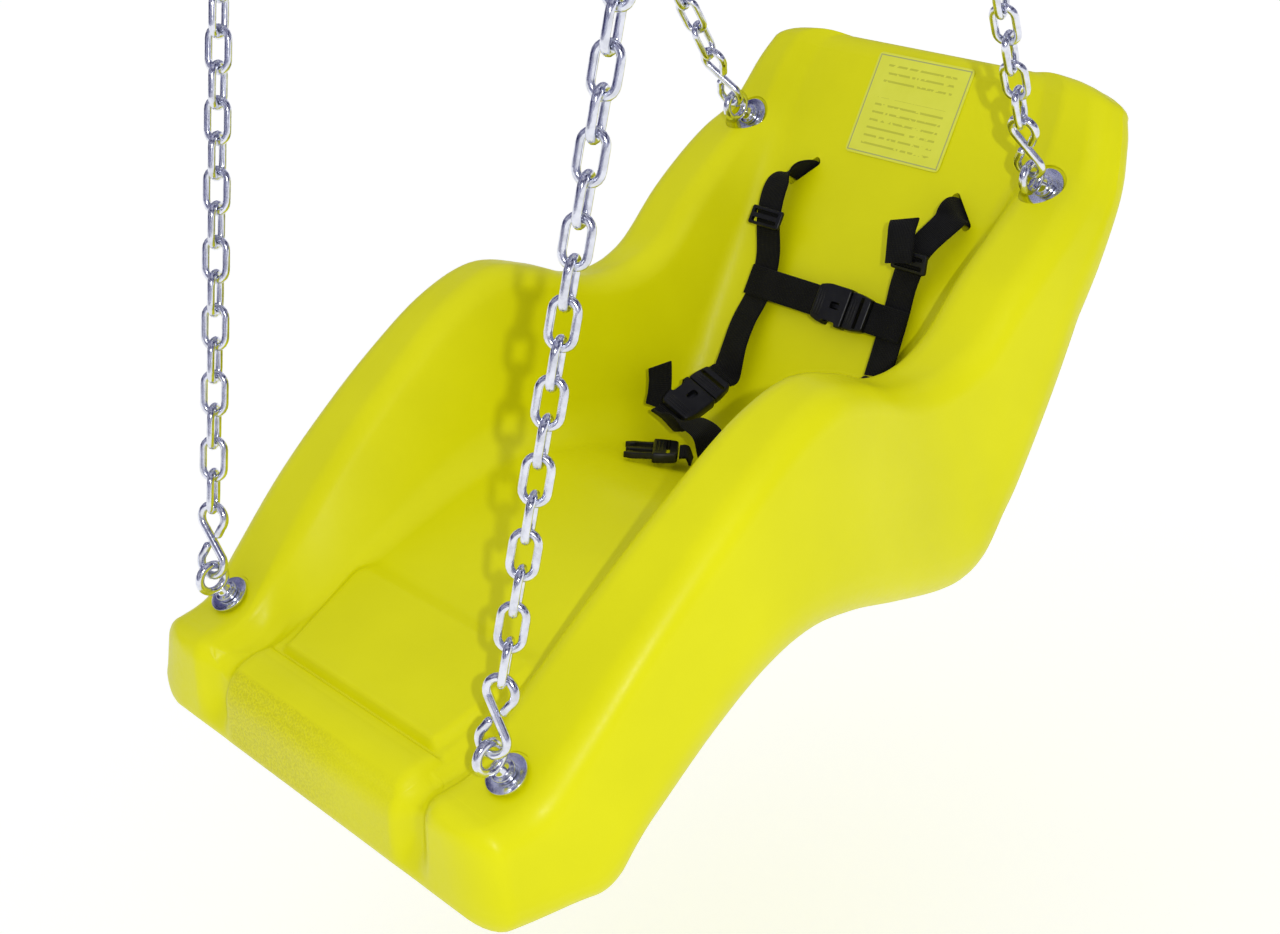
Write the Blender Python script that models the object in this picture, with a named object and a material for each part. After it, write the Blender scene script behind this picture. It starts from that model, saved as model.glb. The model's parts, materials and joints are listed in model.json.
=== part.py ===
"""Adaptive moulded swing seat on four chains, for Blender 4.5 (metres, +Z up).

The seat and its chains are drawn in the seat's own frame: x across, y to the
back, z up, origin midway between the two front eyes.  SEAT_TO_WORLD then hangs
them, reclined so that the centre of mass is under the pivot line.  The world's
origin is midway between the tops of the two hangers.
"""
import math

import bmesh
import bpy
import numpy as np
from mathutils import Matrix, Vector

for stale in list(bpy.data.objects):
    bpy.data.objects.remove(stale, do_unlink=True)

# ------------------------------------------------------------ driving sizes
GAP = 0.0004                       # clearance kept between pieces
RECLINE = math.radians(8.1)        # turn that puts the centre of mass under the pivot

CHAIN_TOP = Vector((0.243, 0.155, 0.949))    # where a side's two chains meet
FRONT_EYE = Vector((0.165, 0.0, 0.0))
REAR_EYE = Vector((0.154, 0.525, 0.271))
EYE_LEAN = {"front": math.radians(35), "rear": math.radians(58)}

EYE_RADIUS, EYE_WIRE = 0.0105, 0.0032        # ring centreline and half thickness
SHANK_RADIUS = 0.0040
WASHER_RADIUS, WASHER_THICK = 0.0150, 0.0025
SEAT_FACE = 0.0232                           # eye centre to the spot face under the washer
EYE_SKIN = 0.012                             # moulding left under the spot face
NUT_FLATS, NUT_HEIGHT = 0.013, 0.0075

CHAIN_WIRE, CHAIN_WIDTH = 0.0055, 0.0212
CHAIN_LINKS = {"front": 37, "rear": 29}
FIRST_LINK, LAST_LINK = 0.0664, 0.0256       # link centres from the eye and from the top
HOOK_WIRE, HOOK_LOOP, HOOK_LENGTH = 0.00315, 0.0098, 0.0600
HOOK_PLAY = 0.0019                           # slack between an S-hook and its eye
HOOK_TURN = {"front": math.radians(24), "rear": math.radians(6)}   # of an S-hook about its chain

SNAP_WIRE, SNAP_BOTTOM, SNAP_TOP, SNAP_SPAN = 0.0045, 0.018, 0.0145, 0.0615
YOKE_RING, YOKE_WIRE, YOKE_TUBE, YOKE_BORE = 0.012, 0.0040, 0.0110, 0.0086
TUBE_LENGTH, PIN_RADIUS, BUSH_RADIUS = 0.030, 0.0050, 0.0082
HANGER_DROP = 0.040                          # hanger top face down to its pin
PLATE = (0.050, 0.090, 0.006)
EAR_THICK, EAR_WIDTH = 0.005, 0.030

SHELL_WALL = 0.005
BACK_POINT = Vector((0.0, 0.5365, 0.2287))   # on the back panel, level with its slots
BACK_LEAN = math.radians(27.5)
STRAP_WIDTH, STRAP_THICK = 0.0254, 0.0018
SLOT = (0.034, 0.008)
LABEL = (0.098, 0.085, 0.0006)

# Seat sections from the front edge to the top of the back: base and rim points
# (y, z), half-widths of the pan, the rim's two edges and the whole, the depth of
# the double wall, and the fillets inside the pan and under the sides.
SECTIONS = [
    # base y, base z, rim y,  rim z,  pan,   inner, outer, wide,  depth, r_in,  r_low
    (-0.016, -0.034, -0.016, -0.030, 0.105, 0.134, 0.196, 0.214, 0.072, 0.006, 0.018),
    (0.014, -0.032, 0.010, -0.023, 0.105, 0.136, 0.200, 0.221, 0.081, 0.008, 0.018),
    (0.045, -0.019, 0.038, 0.006, 0.105, 0.139, 0.203, 0.224, 0.085, 0.014, 0.024),
    (0.090, 0.001, 0.085, 0.056, 0.106, 0.143, 0.206, 0.225, 0.077, 0.020, 0.034),
    (0.140, 0.024, 0.130, 0.098, 0.108, 0.146, 0.207, 0.226, 0.065, 0.026, 0.042),
    (0.190, 0.043, 0.175, 0.135, 0.110, 0.148, 0.207, 0.226, 0.054, 0.032, 0.044),
    (0.240, 0.052, 0.222, 0.168, 0.112, 0.149, 0.205, 0.224, 0.048, 0.036, 0.044),
    (0.290, 0.047, 0.267, 0.184, 0.113, 0.149, 0.202, 0.221, 0.046, 0.040, 0.044),
    (0.340, 0.034, 0.310, 0.175, 0.112, 0.146, 0.197, 0.217, 0.046, 0.044, 0.044),
    (0.385, 0.023, 0.345, 0.161, 0.108, 0.143, 0.194, 0.214, 0.046, 0.050, 0.044),
    (0.410, 0.022, 0.372, 0.157, 0.106, 0.141, 0.193, 0.214, 0.046, 0.052, 0.044),
    (0.427, 0.029, 0.394, 0.159, 0.106, 0.140, 0.194, 0.215, 0.046, 0.050, 0.044),
    (0.438, 0.041, 0.410, 0.164, 0.107, 0.139, 0.195, 0.215, 0.047, 0.048, 0.044),
    (0.449, 0.061, 0.424, 0.171, 0.108, 0.138, 0.196, 0.216, 0.048, 0.044, 0.044),
    (0.462, 0.086, 0.438, 0.182, 0.110, 0.138, 0.197, 0.217, 0.049, 0.040, 0.042),
    (0.490, 0.140, 0.464, 0.210, 0.113, 0.139, 0.197, 0.217, 0.048, 0.034, 0.040),
    (0.516, 0.189, 0.495, 0.236, 0.116, 0.141, 0.196, 0.215, 0.045, 0.030, 0.036),
    (0.5365, 0.2287, 0.520, 0.254, 0.118, 0.143, 0.193, 0.212, 0.042, 0.028, 0.032),
    (0.556, 0.266, 0.549, 0.272, 0.119, 0.145, 0.186, 0.205, 0.038, 0.030, 0.028),
    (0.574, 0.301, 0.568, 0.305, 0.119, 0.143, 0.176, 0.195, 0.035, 0.030, 0.024),
    (0.583, 0.3185, 0.578, 0.322, 0.115, 0.138, 0.169, 0.187, 0.034, 0.030, 0.022),
]
FRONT_ROUND = (0.018, 0.034, 0.014)          # end rounding: reach, in plan, in depth
TOP_ROUND = (0.018, 0.052, 0.012)


# ------------------------------------------------------------ frames
X_AXIS = Vector((1, 0, 0))
UP_BACK = Vector((0, math.sin(BACK_LEAN), math.cos(BACK_LEAN)))
OFF_BACK = Vector((0, -math.cos(BACK_LEAN), math.sin(BACK_LEAN)))


def back_at(x, along, off):
    """Point on the back panel: x across, up the panel, and off its face."""
    return BACK_POINT + X_AXIS * x + UP_BACK * along + OFF_BACK * off


def axes(origin, right, up):
    """Matrix whose X and Z columns follow right and up as nearly as they can."""
    up = up.normalized()
    forward = up.cross(right).normalized()
    right = forward.cross(up)
    matrix = Matrix((right, forward, up)).transposed().to_4x4()
    matrix.translation = origin
    return matrix


def side_of(name):
    return -1 if "left" in name else 1


def mirrored(point, side):
    return Vector((point.x * side, point.y, point.z))


# The snap hooks continue the chains' lateral lean up to the yokes.
eye_middle = (FRONT_EYE + REAR_EYE) / 2
EYE_LINE = Vector((0, REAR_EYE.y - FRONT_EYE.y, REAR_EYE.z - FRONT_EYE.z)).normalized()
rise_to_top = Vector((0, CHAIN_TOP.y - eye_middle.y, CHAIN_TOP.z - eye_middle.z))
rise_across_line = rise_to_top - EYE_LINE * rise_to_top.dot(EYE_LINE)
HANG_LEAN = math.atan2(CHAIN_TOP.x - eye_middle.x, rise_across_line.length)

SNAP_TOP_BOW = SNAP_SPAN + SNAP_TOP          # chain meeting point up to the snap hook's top bow
RING_SEAT = YOKE_RING - SNAP_WIRE - YOKE_WIRE - GAP
PIN_TO_RING = YOKE_TUBE + YOKE_RING + 0.002
PIN_TO_BOW = PIN_TO_RING + RING_SEAT
HANGER_X = CHAIN_TOP.x + SNAP_TOP_BOW * math.sin(HANG_LEAN)
MEETING_DROP = HANGER_DROP + PIN_TO_BOW + SNAP_TOP_BOW * math.cos(HANG_LEAN)

SEAT_TO_WORLD = (Matrix.Translation((0, 0, -MEETING_DROP)) @ Matrix.Rotation(-RECLINE, 4, "X")
                 @ Matrix.Translation((0, -CHAIN_TOP.y, -CHAIN_TOP.z)))


# ------------------------------------------------------------ building tools
def new_collection(name):
    made = bpy.data.collections.new(name)
    bpy.context.scene.collection.children.link(made)
    return made


PARTS = new_collection("adaptive_swing_seat")
CUTTERS = new_collection("cutters")


def material(name, colour, roughness, metallic=0.0):
    made = bpy.data.materials.get(name) or bpy.data.materials.new(name)
    made.use_nodes = True
    made.diffuse_color = (*colour, 1)
    shader = made.node_tree.nodes["Principled BSDF"]
    shader.inputs["Base Color"].default_value = (*colour, 1)
    shader.inputs["Roughness"].default_value = roughness
    shader.inputs["Metallic"].default_value = metallic
    return made


YELLOW = material("yellow_polyethylene", (0.70, 0.68, 0.01), 0.35)
ZINC = material("bright_zinc", (0.72, 0.74, 0.78), 0.28, 1.0)
STEEL = material("plated_steel", (0.55, 0.56, 0.58), 0.35, 1.0)
BRONZE = material("bronze", (0.45, 0.30, 0.14), 0.40, 1.0)
WEBBING = material("black_webbing", (0.012, 0.012, 0.014), 0.80)
ACETAL = material("black_acetal", (0.015, 0.015, 0.017), 0.38)
FILM = material("label_film", (0.74, 0.76, 0.20), 0.55)


def add_object(name, mesh, finish, collection=None):
    piece = bpy.data.objects.new(name, mesh)
    (collection or PARTS).objects.link(piece)
    if finish:
        mesh.materials.append(finish)
    if collection is CUTTERS:
        piece.hide_render = True
        piece.display_type = "WIRE"
    return piece


def from_bmesh(name, work, finish, collection=None, place=None):
    """Turn a bmesh into an object, its mesh already in the seat's or world's frame."""
    if place is not None:
        bmesh.ops.transform(work, matrix=place, verts=work.verts)
    bmesh.ops.recalc_face_normals(work, faces=work.faces)
    mesh = bpy.data.meshes.new(name)
    work.to_mesh(mesh)
    work.free()
    return add_object(name, mesh, finish, collection)


def box(name, size, place, finish=None, collection=None, bevel=0.0):
    work = bmesh.new()
    bmesh.ops.create_cube(work, size=1.0, matrix=Matrix.Diagonal((*size, 1)))
    if bevel:
        bmesh.ops.bevel(work, geom=work.edges[:], offset=bevel, segments=1, affect="EDGES")
    return from_bmesh(name, work, finish, collection, place)


def cylinder(name, radius, low, high, place, finish=None, collection=None, segments=20):
    work = bmesh.new()
    bmesh.ops.create_cone(work, cap_ends=True, segments=segments, radius1=radius, radius2=radius,
                          depth=high - low, matrix=Matrix.Translation((0, 0, (low + high) / 2)))
    return from_bmesh(name, work, finish, collection, place)


def turned(name, profile, place, finish=None, collection=None, steps=20):
    """Closed (radius, z) profile turned about Z; on the axis it closes by itself."""
    work = bmesh.new()
    verts = [work.verts.new((r, 0, z)) for r, z in profile]
    for here, following in zip(verts, verts[1:] + verts[:1]):
        if not (here.co.x == 0 and following.co.x == 0):
            work.edges.new((here, following))
    bmesh.ops.spin(work, geom=work.verts[:] + work.edges[:], cent=(0, 0, 0), axis=(0, 0, 1),
                   angle=2 * math.pi, steps=steps, use_merge=True)
    bmesh.ops.remove_doubles(work, verts=work.verts, dist=1e-6)
    return from_bmesh(name, work, finish, collection, place)


def ring_solid(name, outer, bore, low, high, place, finish, steps=20):
    """Ring whose faceted bore still clears a round shaft of the stated radius."""
    bore = bore / math.cos(math.pi / steps)
    return turned(name, [(bore, low), (outer, low), (outer, high), (bore, high)], place, finish, steps=steps)


def torus(name, radius, wire, place, finish=None, collection=None, around=24, across=8):
    profile = [(radius + wire * math.cos(2 * math.pi * k / across), wire * math.sin(2 * math.pi * k / across))
               for k in range(across)]
    return turned(name, profile, place, finish, collection, around)


def sweep(name, points, section, across, finish=None, collection=None):
    """Loft one flat section along points; `across` gives each station's X direction."""
    loops = []
    for i, point in enumerate(points):
        ahead = points[min(i + 1, len(points) - 1)] - points[max(i - 1, 0)]
        wide = across[i] if isinstance(across, list) else across
        frame = axes(point, wide, ahead)
        loops.append([frame @ Vector((u, v, 0)) for u, v in section])
    return loft(name, loops, finish, collection)


def loft(name, loops, finish=None, collection=None):
    """Closed solid through equal loops with capped ends."""
    work = bmesh.new()
    rings = [[work.verts.new(p) for p in loop] for loop in loops]
    size = len(rings[0])
    for ring, following in zip(rings, rings[1:]):
        for k in range(size):
            work.faces.new((ring[k], ring[(k + 1) % size], following[(k + 1) % size], following[k]))
    work.faces.new(rings[0])
    work.faces.new(rings[-1])
    bmesh.ops.triangulate(work, faces=[f for f in work.faces if len(f.verts) > 4])
    return from_bmesh(name, work, finish, collection)


def wire(name, points, radius, finish):
    """Round bar along the points, as a curve with filled caps."""
    curve = bpy.data.curves.new(name, "CURVE")
    curve.dimensions = "3D"
    curve.bevel_depth = radius
    curve.bevel_resolution = 2
    curve.use_fill_caps = True
    spline = curve.splines.new("POLY")
    spline.points.add(len(points) - 1)
    for spot, point in zip(spline.points, points):
        spot.co = (*point, 1)
    return add_object(name, curve, finish)


def flat_section(width, thick):
    w, t = width / 2, thick / 2
    return [(-w, -t), (w, -t), (w, t), (-w, t)]


def boolean(target, tool, operation):
    """EXACT Boolean kept as a modifier; the tool moves to the cutters."""
    for owner in list(tool.users_collection):
        owner.objects.unlink(tool)
    CUTTERS.objects.link(tool)
    tool.hide_render = True
    tool.display_type = "WIRE"
    step = target.modifiers.new(operation.lower(), "BOOLEAN")
    step.operation = operation
    step.solver = "EXACT"
    step.object = tool
    return target


def joined(name, pieces, collection):
    """One cutter object from several separate solids."""
    work = bmesh.new()
    for piece in pieces:
        work.from_mesh(piece.data)
        bpy.data.objects.remove(piece, do_unlink=True)
    mesh = bpy.data.meshes.new(name)
    work.to_mesh(mesh)
    work.free()
    return add_object(name, mesh, None, collection)


# ------------------------------------------------------------ shell
def smooth_rows(rows, count):
    """Catmull-Rom interpolation of table rows, evenly over the row index."""
    table = np.array(rows, dtype=float)
    result = []
    for at in np.linspace(0.0, len(table) - 1.0, count):
        i = min(int(at), len(table) - 2)
        t = at - i
        before, this, after = table[max(i - 1, 0)], table[i], table[i + 1]
        beyond = table[min(i + 2, len(table) - 1)]
        result.append(0.5 * (2 * this + (after - before) * t
                             + (2 * before - 5 * this + 4 * after - beyond) * t ** 2
                             + (3 * this - before - 3 * after + beyond) * t ** 3))
    return result


def filleted(corners, radii, steps):
    """Open outline with every inner corner rounded in `steps` points."""
    points = [corners[0]]
    for i in range(1, len(corners) - 1):
        here = corners[i]
        to_last, to_next = corners[i - 1] - here, corners[i + 1] - here
        len_last, len_next = np.linalg.norm(to_last), np.linalg.norm(to_next)
        to_last, to_next = to_last / len_last, to_next / len_next
        half = 0.5 * math.acos(max(-0.99999, min(0.99999, float(to_last @ to_next))))
        reach = min(radii[i] / math.tan(half), 0.48 * len_last, 0.48 * len_next)
        radius = reach * math.tan(half)
        bisector = (to_last + to_next) / np.linalg.norm(to_last + to_next)
        centre = here + bisector * radius / math.sin(half)
        start, end = here + to_last * reach - centre, here + to_next * reach - centre
        first, last = math.atan2(start[1], start[0]), math.atan2(end[1], end[0])
        turn = (last - first + math.pi) % (2 * math.pi) - math.pi
        for k in range(steps):
            angle = first + turn * k / (steps - 1)
            points.append(centre + radius * np.array([math.cos(angle), math.sin(angle)]))
    points.append(corners[-1])
    return points


def section_loop(row, inset, steps, plan=0.0, shift=0.0):
    """Closed section in 3-D; inset shrinks it, plan narrows it, shift moves it along."""
    base_y, base_z, rim_y, rim_z, pan, inner, outer, wide, depth, r_in, r_low = row
    base = np.array([base_y, base_z])
    up = np.array([rim_y, rim_z]) - base
    rise = np.linalg.norm(up)
    up = up / rise
    along = np.array([up[1], -up[0]])
    corners = [np.array(p) for p in (
        (0.0, -inset), (pan + inset, -inset), (inner + inset, rise - inset),
        (outer - inset, rise - inset - 0.004), (wide - inset, inset - depth), (0.0, inset - depth))]
    radii = [0, max(r_in - inset, 0.004), 0.022 - inset, 0.022 - inset, max(r_low - inset, 0.004), 0]
    half = filleted(corners, radii, steps)
    loop = half + [np.array([-p[0], p[1]]) for p in reversed(half[1:-1])]
    narrow = 1 - plan / wide
    return [Vector((p[0] * narrow, *(base + up * p[1] + along * shift))) for p in loop]


def rounded_end(row, rounding, sign, steps):
    """Shrinking sections that round off one end, outermost last."""
    reach, plan, depth = rounding
    loops = []
    for k in (1, 2, 3):
        angle = 0.5 * math.pi * k / 3
        loops.append(section_loop(row, depth * (1 - math.cos(angle)) * 0.9, steps,
                                  plan * (1 - math.cos(angle)), sign * reach * math.sin(angle)))
    return loops


def shell_solid(name, inset, steps, count, finish, collection=None):
    rows = smooth_rows(SECTIONS, count)
    if inset:
        loops = [section_loop(row, inset, steps) for row in rows]
        return loft(name, loops, finish, collection)
    loops = list(reversed(rounded_end(rows[0], FRONT_ROUND, -1, steps)))
    loops += [section_loop(row, 0, steps) for row in rows]
    loops += rounded_end(rows[-1], TOP_ROUND, 1, steps)
    return loft(name, loops, finish, collection)


def eye_frame(place, side):
    """Frame at an eye: Z runs from the shank up through the ring, X is across."""
    eye = mirrored(FRONT_EYE if place == "front" else REAR_EYE, side)
    lean = EYE_LEAN[place]
    return axes(eye, Vector((1, 0, 0)), Vector((0, -math.sin(lean), math.cos(lean))))


def slot_frame(which):
    """Frame of a strap slot: X along the slot, Z out of the seat's face."""
    if which == "crotch":
        return axes(Vector((0, 0.352, 0.030)), Vector((1, 0, 0)), Vector((0, 0.22, 0.97)))
    side = side_of(which)
    return axes(back_at(0.083 * side, -0.002, 0), X_AXIS * 0.70 * side - UP_BACK * 0.71, OFF_BACK)


CORNERS = [(place, hand) for place in ("front", "rear") for hand in ("left", "right")]
SLOTS = ("left", "right", "crotch")


def build_shell():
    shell = shell_solid("seat_shell", 0, 4, 30, YELLOW)
    core = shell_solid("shell_cavity", SHELL_WALL, 3, 18, None, CUTTERS)
    sleeves, openings = [], []
    for place, hand in CORNERS:
        frame = eye_frame(place, side_of(hand))
        under = -SEAT_FACE - EYE_SKIN
        sleeves.append(cylinder("sleeve", 0.0235, under - 0.11, 0.03, frame, segments=16))
        openings.append(turned("pocket", [
            (0, 0.03), (0.0175, 0.03), (0.0175, -SEAT_FACE), (SHANK_RADIUS + GAP, -SEAT_FACE),
            (SHANK_RADIUS + GAP, under), (0.0185, under), (0.0185, under - 0.11), (0, under - 0.11)],
            frame, steps=16))
    for which in SLOTS:
        frame = slot_frame(which)
        sleeves.append(box("sleeve", (SLOT[0] + 0.012, SLOT[1] + 0.012, 0.16), frame))
        openings.append(box("slot", (SLOT[0], SLOT[1], 0.16), frame))
    for side in (-1, 1):
        vent = Matrix.Translation((0.06 * side, 0.230, -0.005))
        openings.append(cylinder("vent", 0.005, -0.03, 0.030, vent, segments=12))
    boolean(core, joined("cavity_sleeves", sleeves, CUTTERS), "DIFFERENCE")
    boolean(shell, core, "DIFFERENCE")
    boolean(shell, joined("shell_openings", openings, CUTTERS), "DIFFERENCE")


# ------------------------------------------------------------ eyes, hooks, chains
def build_eye_set(place, hand):
    side = side_of(hand)
    tag = f"{place}_{hand}"
    frame = eye_frame(place, side)
    upright = frame @ Matrix.Rotation(math.pi / 2, 4, "Y")
    under = -SEAT_FACE - EYE_SKIN
    washer_low = under - GAP - WASHER_THICK
    nut_low = washer_low - GAP - NUT_HEIGHT
    bolt = torus(f"eye_bolt_{tag}", EYE_RADIUS, EYE_WIRE, upright, ZINC, around=20)
    shank = turned("shank", [
        (0, -EYE_RADIUS), (0.0034, -EYE_RADIUS), (0.0050, -0.0155), (0.0085, -0.0160),
        (0.0085, -SEAT_FACE + WASHER_THICK + GAP), (SHANK_RADIUS, -SEAT_FACE + WASHER_THICK + GAP),
        (SHANK_RADIUS, nut_low - 0.003), (0, nut_low - 0.003)], frame, steps=16)
    boolean(bolt, shank, "UNION")
    bore = SHANK_RADIUS + GAP
    ring_solid(f"eye_washer_{tag}", WASHER_RADIUS, bore, -SEAT_FACE + GAP,
               -SEAT_FACE + WASHER_THICK, frame, ZINC)
    ring_solid(f"backing_washer_{tag}", WASHER_RADIUS + 0.002, bore, washer_low,
               washer_low + WASHER_THICK, frame, STEEL)
    ring_solid(f"lock_nut_{tag}", NUT_FLATS / math.sqrt(3), bore, nut_low, nut_low + NUT_HEIGHT,
               frame, STEEL, steps=6)


def chain_line(place, hand):
    """Eye, top, and a frame at the eye with Z along the chain and X across."""
    side = side_of(hand)
    eye = mirrored(FRONT_EYE if place == "front" else REAR_EYE, side)
    top = mirrored(CHAIN_TOP, side)
    return eye, top, axes(eye, Vector((1, 0, 0)), top - eye)


def build_s_hook(place, hand):
    low_centre = EYE_RADIUS - EYE_WIRE - HOOK_WIRE - HOOK_PLAY + HOOK_LOOP
    high_centre = low_centre + HOOK_LENGTH - 2 * HOOK_WIRE - 2 * HOOK_LOOP
    frame = chain_line(place, hand)[2]
    flat = [(-0.0048, low_centre + 0.0118)]
    for degrees in range(140, 401, 26):
        angle = math.radians(degrees)
        flat.append((HOOK_LOOP * math.cos(angle), low_centre + HOOK_LOOP * math.sin(angle)))
    for degrees in range(220, -41, -26):
        angle = math.radians(degrees)
        flat.append((HOOK_LOOP * math.cos(angle), high_centre + HOOK_LOOP * math.sin(angle)))
    flat.append((0.0048, high_centre - 0.0118))
    turn = Matrix.Rotation(HOOK_TURN[place], 4, "Z")
    points = [frame @ turn @ Vector((u, 0, v)) for u, v in flat]
    wire(f"s_hook_{place}_{hand}", points, HOOK_WIRE, ZINC)


def build_chain(place, hand):
    """Taut chain as one plain solid, wide across X at every other link."""
    eye, top, frame = chain_line(place, hand)
    length = (top - eye).length
    count = CHAIN_LINKS[place]
    hook_top = HOOK_LENGTH - 2 * HOOK_WIRE + EYE_RADIUS - EYE_WIRE - GAP
    start, end = hook_top + GAP + 0.001, length - SNAP_BOTTOM - SNAP_WIRE - GAP - 0.0005
    first, last = FIRST_LINK, length - LAST_LINK
    stations = [first + (last - first) * k / (count - 1) for k in range(count)]
    loops = []
    for k, at in enumerate(stations):
        height = min(max(at, start), end)
        wide, narrow = (CHAIN_WIRE, CHAIN_WIDTH) if k % 2 == 0 else (CHAIN_WIDTH, CHAIN_WIRE)
        if k == 0:
            wide, narrow = CHAIN_WIRE, CHAIN_WIDTH * 0.5
        w, n, h = wide / 2, narrow / 2, CHAIN_WIRE / 2
        outline = [(w, -h), (w, h), (h, n), (-h, n), (-w, h), (-w, -h), (-h, -n), (h, -n)]
        twist = 0.5 * math.pi * k / (count - 1)
        turned_frame = frame @ Matrix.Translation((0, 0, height)) @ Matrix.Rotation(twist, 4, "Z")
        loops.append([turned_frame @ Vector((u * 0.999, v * 1.001, 0)) for u, v in outline])
    loft(f"chain_{place}_{hand}", loops, ZINC)


# ------------------------------------------------------------ hangers (world frame)
def snap_frame(hand):
    """Origin where the chains meet, Z up the lean, Y fore and aft."""
    side = side_of(hand)
    lean = Vector((side * math.sin(HANG_LEAN), 0, math.cos(HANG_LEAN)))
    meeting = Vector((side * CHAIN_TOP.x, 0, -MEETING_DROP))
    return axes(meeting, Vector((1, 0, 0)), lean)


def pin_frame(hand):
    """Origin at the hanger's pin, Z along the pin towards +X."""
    centre = Vector((side_of(hand) * HANGER_X, 0, -HANGER_DROP))
    return axes(centre, Vector((0, 0, -1)), Vector((1, 0, 0)))


GATE_FOOT, GATE_HEAD, GATE_WIRE = 0.0075, 0.0520, 0.0036


def build_snap_hook(hand):
    frame = snap_frame(hand)
    flat = [(SNAP_BOTTOM, 0.0020)]
    flat += [(SNAP_BOTTOM * math.cos(math.radians(a)), SNAP_BOTTOM * math.sin(math.radians(a)))
             for a in range(-15, -181, -15)]
    flat += [(SNAP_TOP * math.cos(math.radians(a)), SNAP_SPAN + SNAP_TOP * math.sin(math.radians(a)))
             for a in range(180, 14, -15)]
    flat += [(0.0155, SNAP_SPAN - 0.003)]
    points = [frame @ Vector((0, u, v)) for u, v in flat]
    wire(f"snap_hook_{hand}", points, SNAP_WIRE, ZINC)
    low, high = Vector((0, SNAP_BOTTOM, GATE_FOOT)), Vector((0, 0.0155, GATE_HEAD))
    wire(f"snap_gate_{hand}", [frame @ low, frame @ high], GATE_WIRE, ZINC)


def build_hanger(hand):
    side = side_of(hand)
    frame = pin_frame(hand)
    centre = Matrix.Translation((side * HANGER_X, 0, 0))
    half = TUBE_LENGTH / 2
    ring_place = (centre @ Matrix.Translation((0, 0, -HANGER_DROP - PIN_TO_RING))
                  @ Matrix.Rotation(math.pi / 2, 4, "X"))
    yoke = ring_solid(f"hanger_yoke_{hand}", YOKE_TUBE, YOKE_BORE, -half, half, frame, ZINC, steps=24)
    boolean(yoke, torus("yoke_ring", YOKE_RING, YOKE_WIRE, ring_place, around=20), "UNION")
    ring_solid(f"pivot_bush_{hand}", BUSH_RADIUS, PIN_RADIUS + GAP, -half, half, frame, BRONZE)
    inner = half + 0.0015
    outer = inner + EAR_THICK
    bracket = box(f"hanger_bracket_{hand}", PLATE, centre @ Matrix.Translation((0, 0, -PLATE[2] / 2)), STEEL)
    for end in (-1, 1):
        ear_top = -PLATE[2] + 0.002
        ear_spot = Matrix.Translation((end * (inner + outer) / 2, 0, (ear_top - HANGER_DROP) / 2))
        ear = box("ear", (EAR_THICK, EAR_WIDTH, HANGER_DROP + ear_top), centre @ ear_spot)
        boolean(bracket, ear, "UNION")
        low, high = sorted((end * inner, end * outer))
        boolean(bracket, cylinder("ear_round", EAR_WIDTH / 2, low, high, frame, segments=28), "UNION")
    holes = [cylinder("pin_hole", PIN_RADIUS + GAP, -0.04, 0.04, frame)]
    for dx in (-0.0165, 0.0165):
        for dy in (-0.033, 0.033):
            spot = centre @ Matrix.Translation((dx, dy, 0))
            holes.append(cylinder("plate_hole", 0.0045, -0.02, 0.02, spot, segments=16))
    boolean(bracket, joined(f"bracket_holes_{hand}", holes, CUTTERS), "DIFFERENCE")
    nut_in = outer + GAP
    turned(f"pivot_bolt_{hand}", [
        (0, -nut_in - 0.0064), (0.0092, -nut_in - 0.0064), (0.0092, -nut_in), (PIN_RADIUS, -nut_in),
        (PIN_RADIUS, nut_in + 0.0115), (0, nut_in + 0.0115)], frame, ZINC, steps=18)
    ring_solid(f"pivot_nut_{hand}", 0.0092, PIN_RADIUS + GAP, nut_in, nut_in + 0.009, frame, STEEL, steps=6)


# ------------------------------------------------------------ harness
def spline_path(points, per_span=4):
    rows = smooth_rows([tuple(p) for p in points], per_span * (len(points) - 1) + 1)
    return [Vector(row) for row in rows]


def strap(name, knots, wides):
    """Flat webbing through the knots; `wides` gives the direction across it at each."""
    path = spline_path(knots)
    across = [w.normalized() for w in spline_path(wides)]
    return sweep(name, path, flat_section(STRAP_WIDTH, STRAP_THICK), across, WEBBING)


BUCKLE_WIDE, BUCKLE_THICK = 0.033, 0.0105
SOCKET_LENGTH, TONGUE_BASE, TONGUE_REACH = 0.034, 0.020, 0.026
CHEST_LINE, CHEST_MOUTH, CHEST_OFF = -0.1015, 0.0240, 0.013
STRAP_CLEAR = 0.0014                         # between a buckle's end and its strap
LEFT_MOUTH = Vector((-0.071, 0.4085, 0.0675))
LEFT_ALONG = Vector((0, -0.95, -0.31)).normalized()
LEFT_WIDE = Vector((0.88, 0, -0.47)).normalized()


def build_socket(name, frame):
    """Socket of a side-release buckle; its mouth is at the frame's origin, facing +Z."""
    socket = box(name, (BUCKLE_WIDE, BUCKLE_THICK, SOCKET_LENGTH),
                 frame @ Matrix.Translation((0, 0, -SOCKET_LENGTH / 2)), ACETAL, bevel=0.0015)
    hollow = box("socket_hollow", (BUCKLE_WIDE - 0.005, BUCKLE_THICK - 0.0040, SOCKET_LENGTH - 0.006),
                 frame @ Matrix.Translation((0, 0, -SOCKET_LENGTH / 2 + 0.0045)))
    return boolean(socket, hollow, "DIFFERENCE")


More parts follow.
